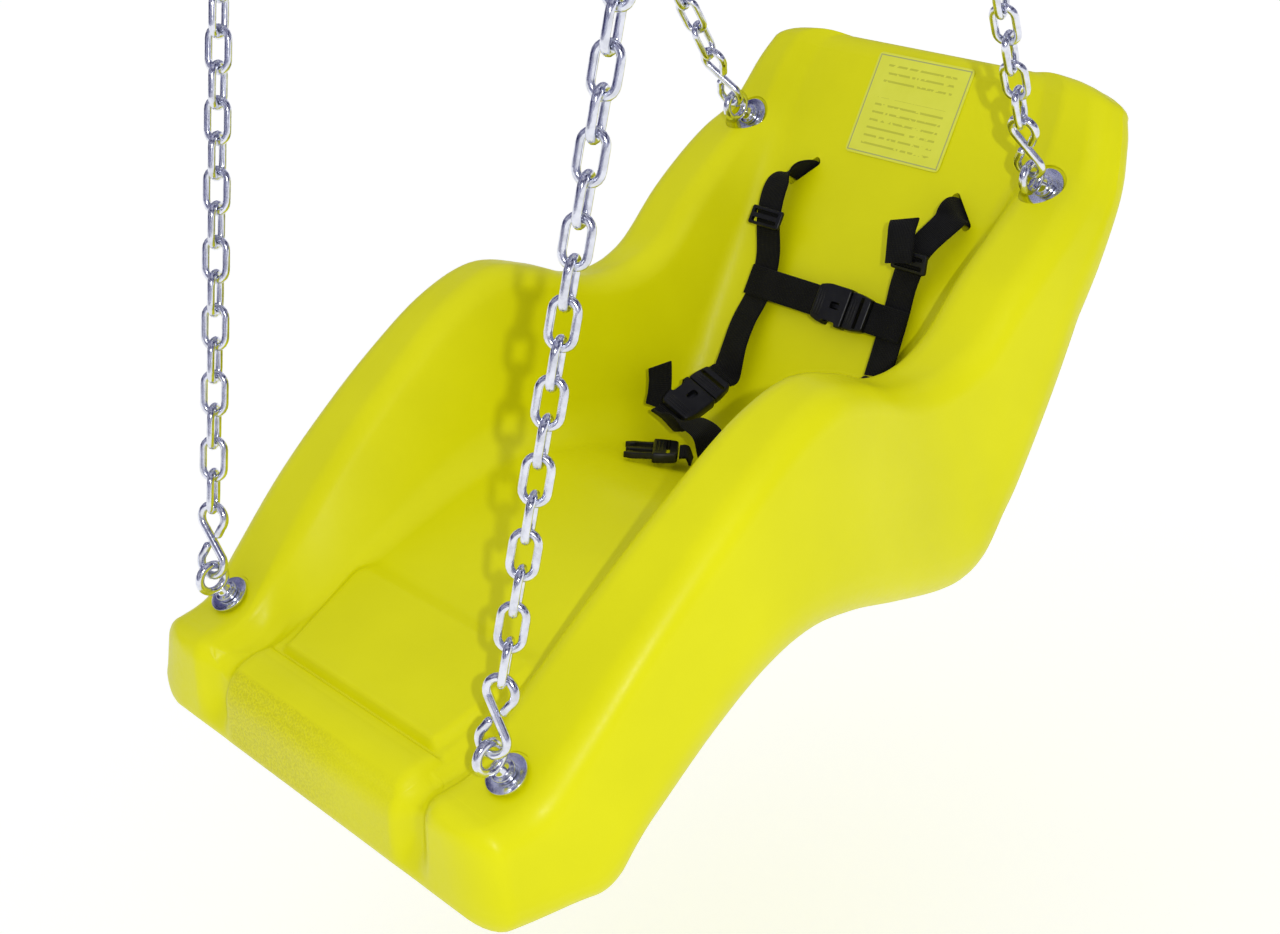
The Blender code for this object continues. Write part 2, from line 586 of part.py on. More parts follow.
def build_tongue(name, frame):
    """Tongue whose base starts at the frame's origin and whose prongs reach down -Z."""
    tongue = box(name, (BUCKLE_WIDE - 0.002, BUCKLE_THICK - 0.002, TONGUE_BASE),
                 frame @ Matrix.Translation((0, 0, GAP + TONGUE_BASE / 2)), ACETAL, bevel=0.0015)
    prongs = box("prongs", (BUCKLE_WIDE - 0.007, BUCKLE_THICK - 0.0055, TONGUE_REACH),
                 frame @ Matrix.Translation((0, 0, -TONGUE_REACH / 2 + 0.004)))
    return boolean(tongue, prongs, "UNION")


def build_buckle(tag, frame):
    build_socket(f"{tag}_socket", frame)
    build_tongue(f"{tag}_tongue", frame)


def slot_knots(frame, sideways=0.0):
    """Strap knots through a slot, from behind the shell to just proud of its face."""
    return [frame @ Vector((0, sideways, depth)) for depth in (-0.0435, -0.020, 0.004)]


def straight_lead(end, direction):
    """Knots that keep a strap straight and square as it leaves a buckle."""
    return [end, end + direction * 0.004, end + direction * 0.009]


def build_keepers():
    for which, depth in (("left", 0.0470), ("right", 0.0470), ("crotch", 0.0520)):
        box(f"strap_keeper_{which}", (0.050, 0.014, 0.005),
            slot_frame(which) @ Matrix.Translation((0, 0, -depth)), ACETAL, bevel=0.001)


def build_shoulder_straps():
    frame = slot_frame("left")
    down = frame.to_3x3() @ X_AXIS * -1
    knots = slot_knots(frame) + [
        back_at(-0.091, -0.016, 0.016), back_at(-0.089, -0.046, 0.016), back_at(-0.079, -0.080, 0.010),
        back_at(-0.076, -0.108, 0.009), back_at(-0.078, -0.135, 0.012), back_at(-0.074, -0.156, 0.017),
        *reversed(straight_lead(LEFT_MOUTH - LEFT_ALONG * (TONGUE_BASE + STRAP_CLEAR), -LEFT_ALONG))]
    strap("shoulder_strap_left", knots, [down, down, down, down * 0.8 + X_AXIS * 0.6] + [X_AXIS] * 5
          + [LEFT_WIDE] * 3)
    frame = slot_frame("right")
    out = frame.to_3x3() @ X_AXIS
    knots = slot_knots(frame) + [
        back_at(0.086, -0.014, 0.016), back_at(0.074, -0.042, 0.022), back_at(0.066, -0.066, 0.014),
        back_at(0.064, -0.092, 0.007), back_at(0.068, -0.120, 0.009), back_at(0.072, -0.143, 0.012)]
    strap("shoulder_strap_right", knots, [out, out, out, out * 0.8 + X_AXIS * 0.6] + [X_AXIS] * 5)
    strap("strap_tail_right", [back_at(0.0650, -0.056, 0.0285), back_at(0.0620, -0.043, 0.0300),
                               back_at(0.0585, -0.031, 0.0300), back_at(0.0550, -0.022, 0.0270)], [X_AXIS] * 4)
    for hand, spot, lean in (("left", back_at(-0.0870, -0.050, 0.0200), 0),
                             ("right", back_at(0.0715, -0.052, 0.0245), 0.35)):
        tilt = (UP_BACK + OFF_BACK * lean).normalized()
        box(f"strap_adjuster_{hand}", (0.034, 0.0035, 0.016), axes(spot, X_AXIS, tilt), ACETAL, bevel=0.001)


def build_chest_straps():
    strap_end = CHEST_MOUTH - SOCKET_LENGTH - STRAP_CLEAR
    strap("chest_strap_left", [back_at(-0.0885, CHEST_LINE, 0.0122), back_at(-0.0760, CHEST_LINE, 0.0122),
                               back_at(-0.0615, CHEST_LINE, 0.0122),
                               back_at(strap_end, CHEST_LINE, CHEST_OFF)], [UP_BACK] * 4)
    build_buckle("chest_buckle", axes(back_at(CHEST_MOUTH, CHEST_LINE, CHEST_OFF), UP_BACK, X_AXIS))
    tongue_end = CHEST_MOUTH + TONGUE_BASE + STRAP_CLEAR
    strap("chest_strap_right", [back_at(tongue_end, CHEST_LINE, CHEST_OFF), back_at(0.0540, CHEST_LINE, 0.0124),
                                back_at(0.0660, CHEST_LINE, 0.0116), back_at(0.0790, CHEST_LINE, 0.0116)],
          [UP_BACK] * 4)


def build_lower_harness():
    """Left shoulder buckle closed; the right one open, its tongue lying on the pan."""
    build_buckle("shoulder_buckle_left", axes(LEFT_MOUTH, LEFT_WIDE, -LEFT_ALONG))
    crotch = slot_frame("crotch")
    forward = crotch.to_3x3() @ X_AXIS
    socket_end = LEFT_MOUTH + LEFT_ALONG * (SOCKET_LENGTH + STRAP_CLEAR)
    left_turn = (LEFT_WIDE + Vector((0, 0.5, 0))).normalized()
    knots = straight_lead(socket_end, LEFT_ALONG) + [
             Vector((-0.053, 0.3580, 0.0590)),
             Vector((-0.034, 0.362, 0.0630)), Vector((-0.013, 0.361, 0.0570))]
    knots += reversed(slot_knots(crotch, 0.0010))
    strap("crotch_strap_left", knots, [LEFT_WIDE] * 3 + [left_turn, Vector((0.4, 0.9, 0)),
                                       Vector((0.5, 0.86, 0))] + [forward] * 3)
    tail_side = Vector((0, 1, -0.1))
    strap("strap_tail_left", [Vector((-0.0890, 0.376, 0.0560)), Vector((-0.0925, 0.381, 0.0640)),
                              Vector((-0.0955, 0.385, 0.0770)), Vector((-0.0960, 0.385, 0.0890))],
          [tail_side] * 4)
    loose_mouth = Vector((-0.040, 0.325, 0.0480))
    loose_along = Vector((-0.72, -0.69, 0.03)).normalized()
    loose_side = Vector((0.69, -0.72, 0)).normalized()
    build_tongue("shoulder_buckle_right_tongue", axes(loose_mouth, loose_side, -loose_along))
    tongue_end = loose_mouth - loose_along * (TONGUE_BASE + STRAP_CLEAR)
    strap("crotch_strap_right", [tongue_end, tongue_end - loose_along * 0.006,
                                 Vector((-0.0170, 0.3455, 0.0400))], [loose_side] * 3)
    build_socket("shoulder_buckle_right_socket",
                 axes(back_at(0.0755, -0.1795, 0.0175), X_AXIS, (UP_BACK * -0.97 + OFF_BACK * 0.16)))


def build_harness():
    build_keepers()
    build_shoulder_straps()
    build_chest_straps()
    build_lower_harness()


# ------------------------------------------------------------ joints
def pivot(name, place, above=None):
    """Empty on a joint's axis, hung from the empty of the joint above it."""
    empty = bpy.data.objects.new(name, None)
    PARTS.objects.link(empty)
    empty.empty_display_size = 0.03
    empty.matrix_world = place
    if above:
        hang(empty, above)
    PLACES[name] = place
    return empty


def hang(child, parent):
    """Parent without moving the child, whose own matrix stays its place in the world."""
    child.parent = parent
    child.matrix_parent_inverse = PLACES[parent.name].inverted()


def members(*starts):
    return [piece for piece in PARTS.objects if piece.type != "EMPTY" and piece.name.startswith(starts)]


PLACES = {}


def build_joints():
    """Chain of pivots from the hangers down to the seat and its buckles."""
    line = SEAT_TO_WORLD.to_3x3() @ EYE_LINE
    fore_aft = pivot("fore_aft_pivot", Matrix.Translation((0, 0, -HANGER_DROP)))
    for piece in members("hanger_yoke"):
        hang(piece, fore_aft)
    for hand in ("left", "right"):
        side = side_of(hand)
        bow = Vector((side * HANGER_X, 0, -HANGER_DROP - PIN_TO_BOW))
        sway = pivot(f"sway_{hand}_pivot", axes(bow, X_AXIS, line), fore_aft)
        for piece in members(f"snap_hook_{hand}", f"chain_front_{hand}", f"chain_rear_{hand}",
                             f"s_hook_front_{hand}", f"s_hook_rear_{hand}"):
            hang(piece, sway)
        gate_foot = snap_frame(hand) @ Matrix.Translation((0, SNAP_BOTTOM, GATE_FOOT))
        gate = pivot(f"gate_{hand}_pivot", gate_foot, sway)
        for piece in members(f"snap_gate_{hand}"):
            hang(piece, gate)
        if hand == "left":
            eyes = axes(SEAT_TO_WORLD @ mirrored(eye_middle, side), X_AXIS, line)
            seat = pivot("seat_level_pivot", eyes, sway)
    for piece in members("seat_shell", "label", "eye_", "backing_washer", "lock_nut", "strap_", "shoulder_",
                         "chest_", "crotch_"):
        hang(piece, seat)
    for name, spot in (("chest_buckle_socket", back_at(CHEST_MOUTH, CHEST_LINE, CHEST_OFF)),
                       ("shoulder_buckle_left_socket", LEFT_MOUTH)):
        slide = pivot(f"{name}_slide", Matrix.Translation(SEAT_TO_WORLD @ spot), seat)
        for piece in members(name):
            hang(piece, slide)


# ------------------------------------------------------------ assemble
build_shell()
label_spot = back_at(0, 0.065, LABEL[2] / 2 + GAP)
box("label", (LABEL[0], LABEL[2], LABEL[1]), axes(label_spot, X_AXIS, UP_BACK), FILM)
for place_name, hand_name in CORNERS:
    build_eye_set(place_name, hand_name)
    build_s_hook(place_name, hand_name)
    build_chain(place_name, hand_name)
build_harness()
for piece in list(PARTS.objects) + list(CUTTERS.objects):
    piece.matrix_world = SEAT_TO_WORLD
for hand_name in ("left", "right"):
    build_hanger(hand_name)
    build_snap_hook(hand_name)
build_joints()
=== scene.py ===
"""Looks of the adaptive moulded swing seat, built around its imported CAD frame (Blender 4.5, metres).

Pieces are drawn in the seat's own frame (x across, y to the back, z up, origin midway between the
front eyes) and placed by SEAT_TO_WORLD, or in the world frame for the hangers overhead.
"""

import json
import math

import bmesh
import bpy
import numpy as np
from mathutils import Matrix, Vector
from mathutils.geometry import delaunay_2d_cdt


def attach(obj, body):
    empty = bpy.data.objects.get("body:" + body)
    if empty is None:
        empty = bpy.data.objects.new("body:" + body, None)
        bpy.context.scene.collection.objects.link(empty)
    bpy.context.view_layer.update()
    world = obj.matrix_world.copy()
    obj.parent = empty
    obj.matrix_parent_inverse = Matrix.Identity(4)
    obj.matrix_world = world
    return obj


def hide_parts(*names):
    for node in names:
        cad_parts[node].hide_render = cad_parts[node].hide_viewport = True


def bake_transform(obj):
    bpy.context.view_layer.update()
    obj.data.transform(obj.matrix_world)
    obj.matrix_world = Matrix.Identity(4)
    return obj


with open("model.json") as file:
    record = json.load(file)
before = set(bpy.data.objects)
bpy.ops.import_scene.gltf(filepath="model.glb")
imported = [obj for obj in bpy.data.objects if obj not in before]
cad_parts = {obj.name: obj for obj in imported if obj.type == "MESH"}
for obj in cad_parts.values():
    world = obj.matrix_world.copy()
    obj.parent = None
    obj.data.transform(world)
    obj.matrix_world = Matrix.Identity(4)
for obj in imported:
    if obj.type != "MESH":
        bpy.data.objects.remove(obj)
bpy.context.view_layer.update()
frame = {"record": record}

# ---- sizes shared with the CAD part
GAP = 0.0004
RECLINE = math.radians(8.1)
CHAIN_TOP = Vector((0.243, 0.155, 0.949))
FRONT_EYE = Vector((0.165, 0.0, 0.0))
REAR_EYE = Vector((0.154, 0.525, 0.271))
EYE_LEAN = {"front": math.radians(35), "rear": math.radians(58)}
EYE_RADIUS, EYE_WIRE = 0.0105, 0.0032
SEAT_FACE, EYE_SKIN = 0.0232, 0.012
WASHER_RADIUS, WASHER_THICK = 0.0150, 0.0025
CHAIN_WIRE = 0.0055
CHAIN_LINKS = {"front": 37, "rear": 29}
FIRST_LINK, LAST_LINK = 0.0664, 0.0256
HOOK_WIRE, HOOK_LOOP, HOOK_LENGTH, HOOK_PLAY = 0.00315, 0.0098, 0.0600, 0.0019
SNAP_WIRE, SNAP_BOTTOM, SNAP_TOP, SNAP_SPAN = 0.0045, 0.018, 0.0145, 0.0615
YOKE_RING, YOKE_WIRE, YOKE_TUBE, YOKE_BORE = 0.012, 0.0040, 0.0110, 0.0086
TUBE_LENGTH, PIN_RADIUS, HANGER_DROP = 0.030, 0.0050, 0.040
GATE_FOOT, GATE_HEAD, GATE_WIRE = 0.0075, 0.0520, 0.0036
SHANK_RADIUS, NUT_FLATS, NUT_HEIGHT = 0.0040, 0.013, 0.0075
BUSH_RADIUS, PLATE, EAR_THICK, EAR_WIDTH = 0.0082, (0.050, 0.090, 0.006), 0.005, 0.030
BACK_POINT = Vector((0.0, 0.5365, 0.2287))
BACK_LEAN = math.radians(27.5)
STRAP_WIDTH, STRAP_THICK = 0.0254, 0.0018
SLOT = (0.034, 0.008)
LABEL = (0.098, 0.085, 0.0006)

# base (y, z), rim (y, z), pan, inner and outer rim, whole half-width, depth, upper and lower fillets
SECTIONS = [
    (-0.016, -0.034, -0.016, -0.030, 0.105, 0.134, 0.196, 0.214, 0.072, 0.006, 0.018),
    (0.014, -0.032, 0.010, -0.023, 0.105, 0.136, 0.200, 0.221, 0.081, 0.008, 0.018),
    (0.045, -0.019, 0.038, 0.006, 0.105, 0.139, 0.203, 0.224, 0.085, 0.014, 0.024),
    (0.090, 0.001, 0.085, 0.056, 0.106, 0.143, 0.206, 0.225, 0.077, 0.020, 0.034),
    (0.140, 0.024, 0.130, 0.098, 0.108, 0.146, 0.207, 0.226, 0.065, 0.026, 0.042),
    (0.190, 0.043, 0.175, 0.135, 0.110, 0.148, 0.207, 0.226, 0.054, 0.032, 0.044),
    (0.240, 0.052, 0.222, 0.168, 0.112, 0.149, 0.205, 0.224, 0.048, 0.036, 0.044),
    (0.290, 0.047, 0.267, 0.184, 0.113, 0.149, 0.202, 0.221, 0.046, 0.040, 0.044),
    (0.340, 0.034, 0.310, 0.175, 0.112, 0.146, 0.197, 0.217, 0.046, 0.044, 0.044),
    (0.385, 0.023, 0.345, 0.161, 0.108, 0.143, 0.194, 0.214, 0.046, 0.050, 0.044),
    (0.410, 0.022, 0.372, 0.157, 0.106, 0.141, 0.193, 0.214, 0.046, 0.052, 0.044),
    (0.427, 0.029, 0.394, 0.159, 0.106, 0.140, 0.194, 0.215, 0.046, 0.050, 0.044),
    (0.438, 0.041, 0.410, 0.164, 0.107, 0.139, 0.195, 0.215, 0.047, 0.048, 0.044),
    (0.449, 0.061, 0.424, 0.171, 0.108, 0.138, 0.196, 0.216, 0.048, 0.044, 0.044),
    (0.462, 0.086, 0.438, 0.182, 0.110, 0.138, 0.197, 0.217, 0.049, 0.040, 0.042),
    (0.490, 0.140, 0.464, 0.210, 0.113, 0.139, 0.197, 0.217, 0.048, 0.034, 0.040),
    (0.516, 0.189, 0.495, 0.236, 0.116, 0.141, 0.196, 0.215, 0.045, 0.030, 0.036),
    (0.5365, 0.2287, 0.520, 0.254, 0.118, 0.143, 0.193, 0.212, 0.042, 0.028, 0.032),
    (0.556, 0.266, 0.549, 0.272, 0.119, 0.145, 0.186, 0.205, 0.038, 0.030, 0.028),
    (0.574, 0.301, 0.568, 0.305, 0.119, 0.143, 0.176, 0.195, 0.035, 0.030, 0.024),
    (0.583, 0.3185, 0.578, 0.322, 0.115, 0.138, 0.169, 0.187, 0.034, 0.030, 0.022),
]
FRONT_ROUND = (0.018, 0.034, 0.014)
TOP_ROUND = (0.018, 0.052, 0.012)

X_AXIS = Vector((1, 0, 0))
UP_BACK = Vector((0, math.sin(BACK_LEAN), math.cos(BACK_LEAN)))
OFF_BACK = Vector((0, -math.cos(BACK_LEAN), math.sin(BACK_LEAN)))
CORNERS = [(place, hand) for place in ("front", "rear") for hand in ("left", "right")]

# ---- looks
FINE_ROWS_FRONT, FINE_ROWS_REST = 70, 130     # shell rows over the first 4 sections and over the others
FRONT_ROWS = 4
PAN_STEPS, WALL_STEPS, FILLET_STEPS = 44, 12, 12
BAR_END = 0.107                               # half-width of the front bar
VALLEY_DEPTH, PLATEAU_RISE, BAR_RISE, GROOVE_DEPTH = 0.0110, 0.0052, 0.0022, 0.0024
FRONT_PLANE, FRONT_TOP = -0.034, -0.034       # y of the front face and z of the edge above it
BAR_ROUND, BOSS_ROUND, BOSS_RISE = 0.032, 0.020, 0.0056
HOOK_TURN = {"front": math.radians(24), "rear": math.radians(6)}   # of an S-hook about its chain
LINK_TURN = {"front": math.radians(42), "rear": math.radians(20)}   # of the lowest link
STEP_LINE = 0.0085                            # y of the line between the front bar and the plateau
VALLEY_INNER, VALLEY_OUTER = (0.099, 0.114), (0.121, 0.143)   # half-widths over which a valley falls and rises
VALLEY_END = (0.010, 0.050)                   # y over which it runs out
PLATEAU_WIDE, PLATEAU_START, PLATEAU_END = (0.088, 0.104), 0.005, 0.094   # half-widths at the two y
PLATEAU_CORNER, PLATEAU_SOFT, GROOVE_HALF, PARTING_BEAD = 0.014, 0.0045, 0.0026, 0.0007


# ---- frames
def back_at(x, along, off):
    """Point on the back panel: x across, up the panel, and off its face."""
    return BACK_POINT + X_AXIS * x + UP_BACK * along + OFF_BACK * off


def axes(origin, right, up):
    """Matrix whose X and Z columns follow right and up as nearly as they can."""
    up = up.normalized()
    forward = up.cross(right).normalized()
    right = forward.cross(up)
    matrix = Matrix((right, forward, up)).transposed().to_4x4()
    matrix.translation = origin
    return matrix


def side_of(name):
    return -1 if "left" in name else 1


def mirrored(point, side):
    return Vector((point.x * side, point.y, point.z))


eye_middle = (FRONT_EYE + REAR_EYE) / 2
EYE_LINE = Vector((0, REAR_EYE.y - FRONT_EYE.y, REAR_EYE.z - FRONT_EYE.z)).normalized()
rise_to_top = Vector((0, CHAIN_TOP.y - eye_middle.y, CHAIN_TOP.z - eye_middle.z))
rise_across_line = rise_to_top - EYE_LINE * rise_to_top.dot(EYE_LINE)
HANG_LEAN = math.atan2(CHAIN_TOP.x - eye_middle.x, rise_across_line.length)
SNAP_TOP_BOW = SNAP_SPAN + SNAP_TOP
PIN_TO_RING = YOKE_TUBE + YOKE_RING + 0.002
PIN_TO_BOW = PIN_TO_RING + YOKE_RING - SNAP_WIRE - YOKE_WIRE - GAP
HANGER_X = CHAIN_TOP.x + SNAP_TOP_BOW * math.sin(HANG_LEAN)
MEETING_DROP = HANGER_DROP + PIN_TO_BOW + SNAP_TOP_BOW * math.cos(HANG_LEAN)
SEAT_TO_WORLD = (Matrix.Translation((0, 0, -MEETING_DROP)) @ Matrix.Rotation(-RECLINE, 4, "X")
                 @ Matrix.Translation((0, -CHAIN_TOP.y, -CHAIN_TOP.z)))


def eye_frame(place, side):
    """Frame at an eye: Z runs from the shank up through the ring, X is across."""
    eye = mirrored(FRONT_EYE if place == "front" else REAR_EYE, side)
    lean = EYE_LEAN[place]
    return axes(eye, X_AXIS, Vector((0, -math.sin(lean), math.cos(lean))))


def slot_frame(which):
    """Frame of a strap slot: X along the slot, Z out of the seat's face."""
    if which == "crotch":
        return axes(Vector((0, 0.352, 0.030)), X_AXIS, Vector((0, 0.22, 0.97)))
    side = side_of(which)
    return axes(back_at(0.083 * side, -0.002, 0), X_AXIS * 0.70 * side - UP_BACK * 0.71, OFF_BACK)


def chain_line(place, hand):
    """Eye, top, and a frame at the eye with Z along the chain and X across."""
    side = side_of(hand)
    eye = mirrored(FRONT_EYE if place == "front" else REAR_EYE, side)
    top = mirrored(CHAIN_TOP, side)
    return eye, top, axes(eye, X_AXIS, top - eye)


def snap_frame(hand):
    """Origin where the chains meet, Z up the lean, Y fore and aft (world frame)."""
    side = side_of(hand)
    lean = Vector((side * math.sin(HANG_LEAN), 0, math.cos(HANG_LEAN)))
    return axes(Vector((side * CHAIN_TOP.x, 0, -MEETING_DROP)), X_AXIS, lean)


def pin_frame(hand):
    """Origin at the hanger's pin, Z along the pin towards +X (world frame)."""
    return axes(Vector((side_of(hand) * HANGER_X, 0, -HANGER_DROP)), Vector((0, 0, -1)), X_AXIS)


def shift(x, y, z):
    return Matrix.Translation((x, y, z))


def round_angles(steps):
    return [2 * math.pi * k / steps for k in range(steps)]


def arc(radius, first, last, count, up=0.0):
    """(across, up) points of an arc whose angles are in degrees."""
    return [(radius * math.cos(a), up + radius * math.sin(a))
            for a in np.radians(np.linspace(first, last, count))]


# ---- materials
def node_material(name, colour, roughness, metallic=0.0):
    """A new material, its node tree and its shader."""
    made = bpy.data.materials.new(name)
    made.use_nodes = True
    shader = made.node_tree.nodes["Principled BSDF"]
    shader.inputs["Base Color"].default_value = (*colour, 1)
    shader.inputs["Roughness"].default_value = roughness
    shader.inputs["Metallic"].default_value = metallic
    return made, made.node_tree, shader


def feed(tree, socket, value):
    """Link an output to the socket, or set a number or a colour on it."""
    if isinstance(value, tuple):
        socket.default_value = (*value, 1)
    elif isinstance(value, (int, float)):
        socket.default_value = value
    else:
        tree.links.new(value, socket)


def noise(tree, scale, detail=3.0, coordinates=None):
    texture = tree.nodes.new("ShaderNodeTexNoise")
    texture.inputs["Scale"].default_value = scale
    texture.inputs["Detail"].default_value = detail
    if coordinates is None:
        coordinates = tree.nodes.new("ShaderNodeTexCoord").outputs["Object"]
    tree.links.new(coordinates, texture.inputs["Vector"])
    return texture.outputs["Fac"]


def ramp(tree, value, *stops):
    """Colour ramp from (position, colour or grey) stops."""
    made = tree.nodes.new("ShaderNodeValToRGB")
    elements = made.color_ramp.elements
    while len(elements) < len(stops):
        elements.new(0.5)
    for element, (at, colour) in zip(elements, stops):
        element.position = at
        element.color = (*colour, 1) if isinstance(colour, tuple) else (colour, colour, colour, 1)
    tree.links.new(value, made.inputs["Fac"])
    return made.outputs["Color"]


def calc(tree, operation, *values):
    """Output of a Math node."""
    made = tree.nodes.new("ShaderNodeMath")
    made.operation = operation
    for socket, value in zip(made.inputs, values):
        feed(tree, socket, value)
    return made.outputs[0]


def mixed(tree, factor, low, high):
    made = tree.nodes.new("ShaderNodeMix")
    made.data_type = "RGBA"
    for name, value in (("Factor", factor), ("A", low), ("B", high)):
        feed(tree, made.inputs[name], value)
    return made.outputs["Result"]


def split_xyz(tree, vector):
    split = tree.nodes.new("ShaderNodeSeparateXYZ")
    tree.links.new(vector, split.inputs[0])
    return split.outputs


def strap_map(tree):
    """The X, Y and Z outputs of the piece's own map."""
    uv = tree.nodes.new("ShaderNodeUVMap")
    uv.uv_map = "weave"
    return split_xyz(tree, uv.outputs["UV"])


def dress(tree, shader, colour, roughness, *heights):
    """Link colour, roughness (or None) and a chain of Bump nodes, each (height, strength, distance)."""
    tree.links.new(colour, shader.inputs["Base Color"])
    if roughness is not None:
        tree.links.new(roughness, shader.inputs["Roughness"])
    normal = None
    for height, strength, distance in heights:
        made = tree.nodes.new("ShaderNodeBump")
        made.inputs["Strength"].default_value = strength
        made.inputs["Distance"].default_value = distance
        tree.links.new(height, made.inputs["Height"])
        if normal is not None:
            tree.links.new(normal, made.inputs["Normal"])
        normal = made.outputs["Normal"]
    tree.links.new(normal, shader.inputs["Normal"])


def make_plastic():
    """Rotomoulded polyethylene: fine orange-peel skin, faint mottling, a stippled front face whose pits are
    painted darker as shade.
    """
    made, tree, shader = node_material("yellow_polyethylene", (0.72, 0.70, 0.004), 0.36)
    tone = ramp(tree, noise(tree, 9.0, 4.0), (0.35, (0.680, 0.668, 0.0005)), (0.65, (0.725, 0.712, 0.0008)))
    mask = tree.nodes.new("ShaderNodeAttribute")
    mask.attribute_name = "stipple"
    stipple = mask.outputs["Fac"]
    grain = noise(tree, 620.0)
    # Painted shade: inside the stipple the colour is darker where the grain is low, at the bottoms of the
    # bumped pits.
    pit_shaded_speckle = ramp(tree, grain, (0.38, (0.58, 0.56, 0.001)), (0.62, (0.70, 0.68, 0.001)))
    rough = ramp(tree, noise(tree, 260.0), (0.3, 0.33), (0.7, 0.44))
    shader.inputs["Specular IOR Level"].default_value = 0.20
    fine, peel, pits = noise(tree, 900.0, 2.0), noise(tree, 120.0, 2.0), calc(tree, "MULTIPLY", grain, stipple)
    dress(tree, shader, mixed(tree, stipple, tone, pit_shaded_speckle), rough,
          (fine, 0.10, 0.0003), (peel, 0.06, 0.0010), (pits, 0.7, 0.0006))
    return made


def make_metal(name, colour, roughness, spangle):
    """Plated metal with a faint cloud in its colour and a fine spangle."""
    made, tree, shader = node_material(name, colour, roughness, 1.0)
    tone = ramp(tree, noise(tree, 160.0, 4.0), (0.35, tuple(c * 0.80 for c in colour)), (0.60, colour))
    rough = ramp(tree, noise(tree, 500.0), (0.3, roughness * 0.8), (0.7, roughness * 1.35))
    dress(tree, shader, tone, rough, (noise(tree, 700.0), spangle, 0.0003))
    return made


def make_webbing():
    """Polyester webbing woven in fine ribs; the strap's own map is in metres, across and along."""
    made, tree, shader = node_material("black_webbing", (0.014, 0.014, 0.015), 0.78)
    spot = strap_map(tree)

    def wave(socket, ridges_per_metre, phase=0.0):
        return calc(tree, "SINE", calc(tree, "MULTIPLY_ADD", socket, ridges_per_metre * 2 * math.pi, phase))

    ribs = wave(spot["X"], 700.0)
    picks = wave(spot["Y"], 620.0, calc(tree, "MULTIPLY", ribs, 1.2))
    weave = calc(tree, "MULTIPLY_ADD", picks, 0.5, ribs)
    # Painted shade: the colour follows the weave's height, darker in the grooves between the ribs and lighter
    # on the rib tops.
    tone = ramp(tree, weave, (0.0, (0.002, 0.002, 0.0025)), (1.0, (0.008, 0.008, 0.009)))
    worn = ramp(tree, noise(tree, 60.0), (0.35, (0.003, 0.003, 0.0035)), (0.75, (0.009, 0.009, 0.010)))
    shader.inputs["Sheen Weight"].default_value = 0.03
    shader.inputs["Specular IOR Level"].default_value = 0.12
    dress(tree, shader, mixed(tree, 0.5, tone, worn), None, (weave, 0.7, 0.0004))
    return made


def make_acetal():
    """Moulded black buckle plastic, slightly hazy."""
    made, tree, shader = node_material("black_acetal", (0.012, 0.012, 0.013), 0.34)
    tone = ramp(tree, noise(tree, 90.0), (0.3, (0.003, 0.003, 0.0035)), (0.7, (0.007, 0.007, 0.008)))
    rough = ramp(tree, noise(tree, 400.0), (0.3, 0.28), (0.7, 0.42))
    shader.inputs["Specular IOR Level"].default_value = 0.30
    dress(tree, shader, tone, rough, (noise(tree, 1200.0), 0.12, 0.0002))
    return made


def make_label():
    """Pale film with a thin grey border and rows of plain blank bars, in the label's own map (0 to 1)."""
    made, tree, shader = node_material("label_film", (0.74, 0.76, 0.16), 0.50)
    spot = strap_map(tree)

    def distance_from(socket, middle):
        return calc(tree, "ABSOLUTE", calc(tree, "SUBTRACT", socket, middle))

    across, along = distance_from(spot["X"], 0.5), distance_from(spot["Y"], 0.5)
    border = calc(tree, "COMPARE", calc(tree, "MAXIMUM", across, along), 0.474, 0.006)
    row_count, gap_at = 13.0, 0.62
    bars = calc(tree, "COMPARE", calc(tree, "FRACT", calc(tree, "MULTIPLY", spot["Y"], row_count)), 0.5, 0.13)
    for limit in (calc(tree, "LESS_THAN", across, 0.36), calc(tree, "LESS_THAN", along, 0.40),
                  calc(tree, "GREATER_THAN", distance_from(spot["Y"], gap_at), 0.05),
                  calc(tree, "GREATER_THAN", noise(tree, 240.0, 1.0), 0.42)):
        bars = calc(tree, "MULTIPLY", bars, limit)
    film = ramp(tree, noise(tree, 40.0), (0.3, (0.70, 0.72, 0.045)), (0.7, (0.74, 0.76, 0.060)))
    printed = mixed(tree, calc(tree, "MULTIPLY", bars, 0.55), film, (0.36, 0.37, 0.02))
    printed = mixed(tree, calc(tree, "MULTIPLY", border, 0.85), printed, (0.34, 0.36, 0.16))
    dress(tree, shader, printed, None, (noise(tree, 500.0), 0.05, 0.0002))
    return made


FINISHES = {
    "yellow_polyethylene": make_plastic(),
    "bright_zinc": make_metal("bright_zinc", (0.80, 0.82, 0.90), 0.17, 0.10),
    "plated_steel": make_metal("plated_steel", (0.60, 0.61, 0.63), 0.34, 0.14),
    "bronze": make_metal("bronze", (0.50, 0.33, 0.16), 0.42, 0.10),
    "black_webbing": make_webbing(),
    "black_acetal": make_acetal(),
    "label_film": make_label(),
}
BODY_OF = {node: body for body, nodes in frame["record"]["behaviour"]["bodies"].items() for node in nodes}
SLOT_OF = {row["node"]: row["material_slot"] for row in frame["record"]["subparts"]}


# ---- mesh tools
def linked(name, data):
    made = bpy.data.objects.new(name, data)
    bpy.context.scene.collection.objects.link(made)
    return made


def add_piece(node, mesh, place=SEAT_TO_WORLD, suffix="fine", smooth_angle=40.0, ride=True):
    """Object for a finished mesh; it stands for the node and rides on the node's body."""
    mesh.transform(place)
    mesh.shade_smooth()
    piece = linked(f"{node}_{suffix}", mesh)
    mesh.materials.append(FINISHES[SLOT_OF[node]])
    if smooth_angle < 180:
        mesh.set_sharp_from_angle(angle=math.radians(smooth_angle))
    if ride:
        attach(piece, BODY_OF[node])
    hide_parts(node)
    return piece


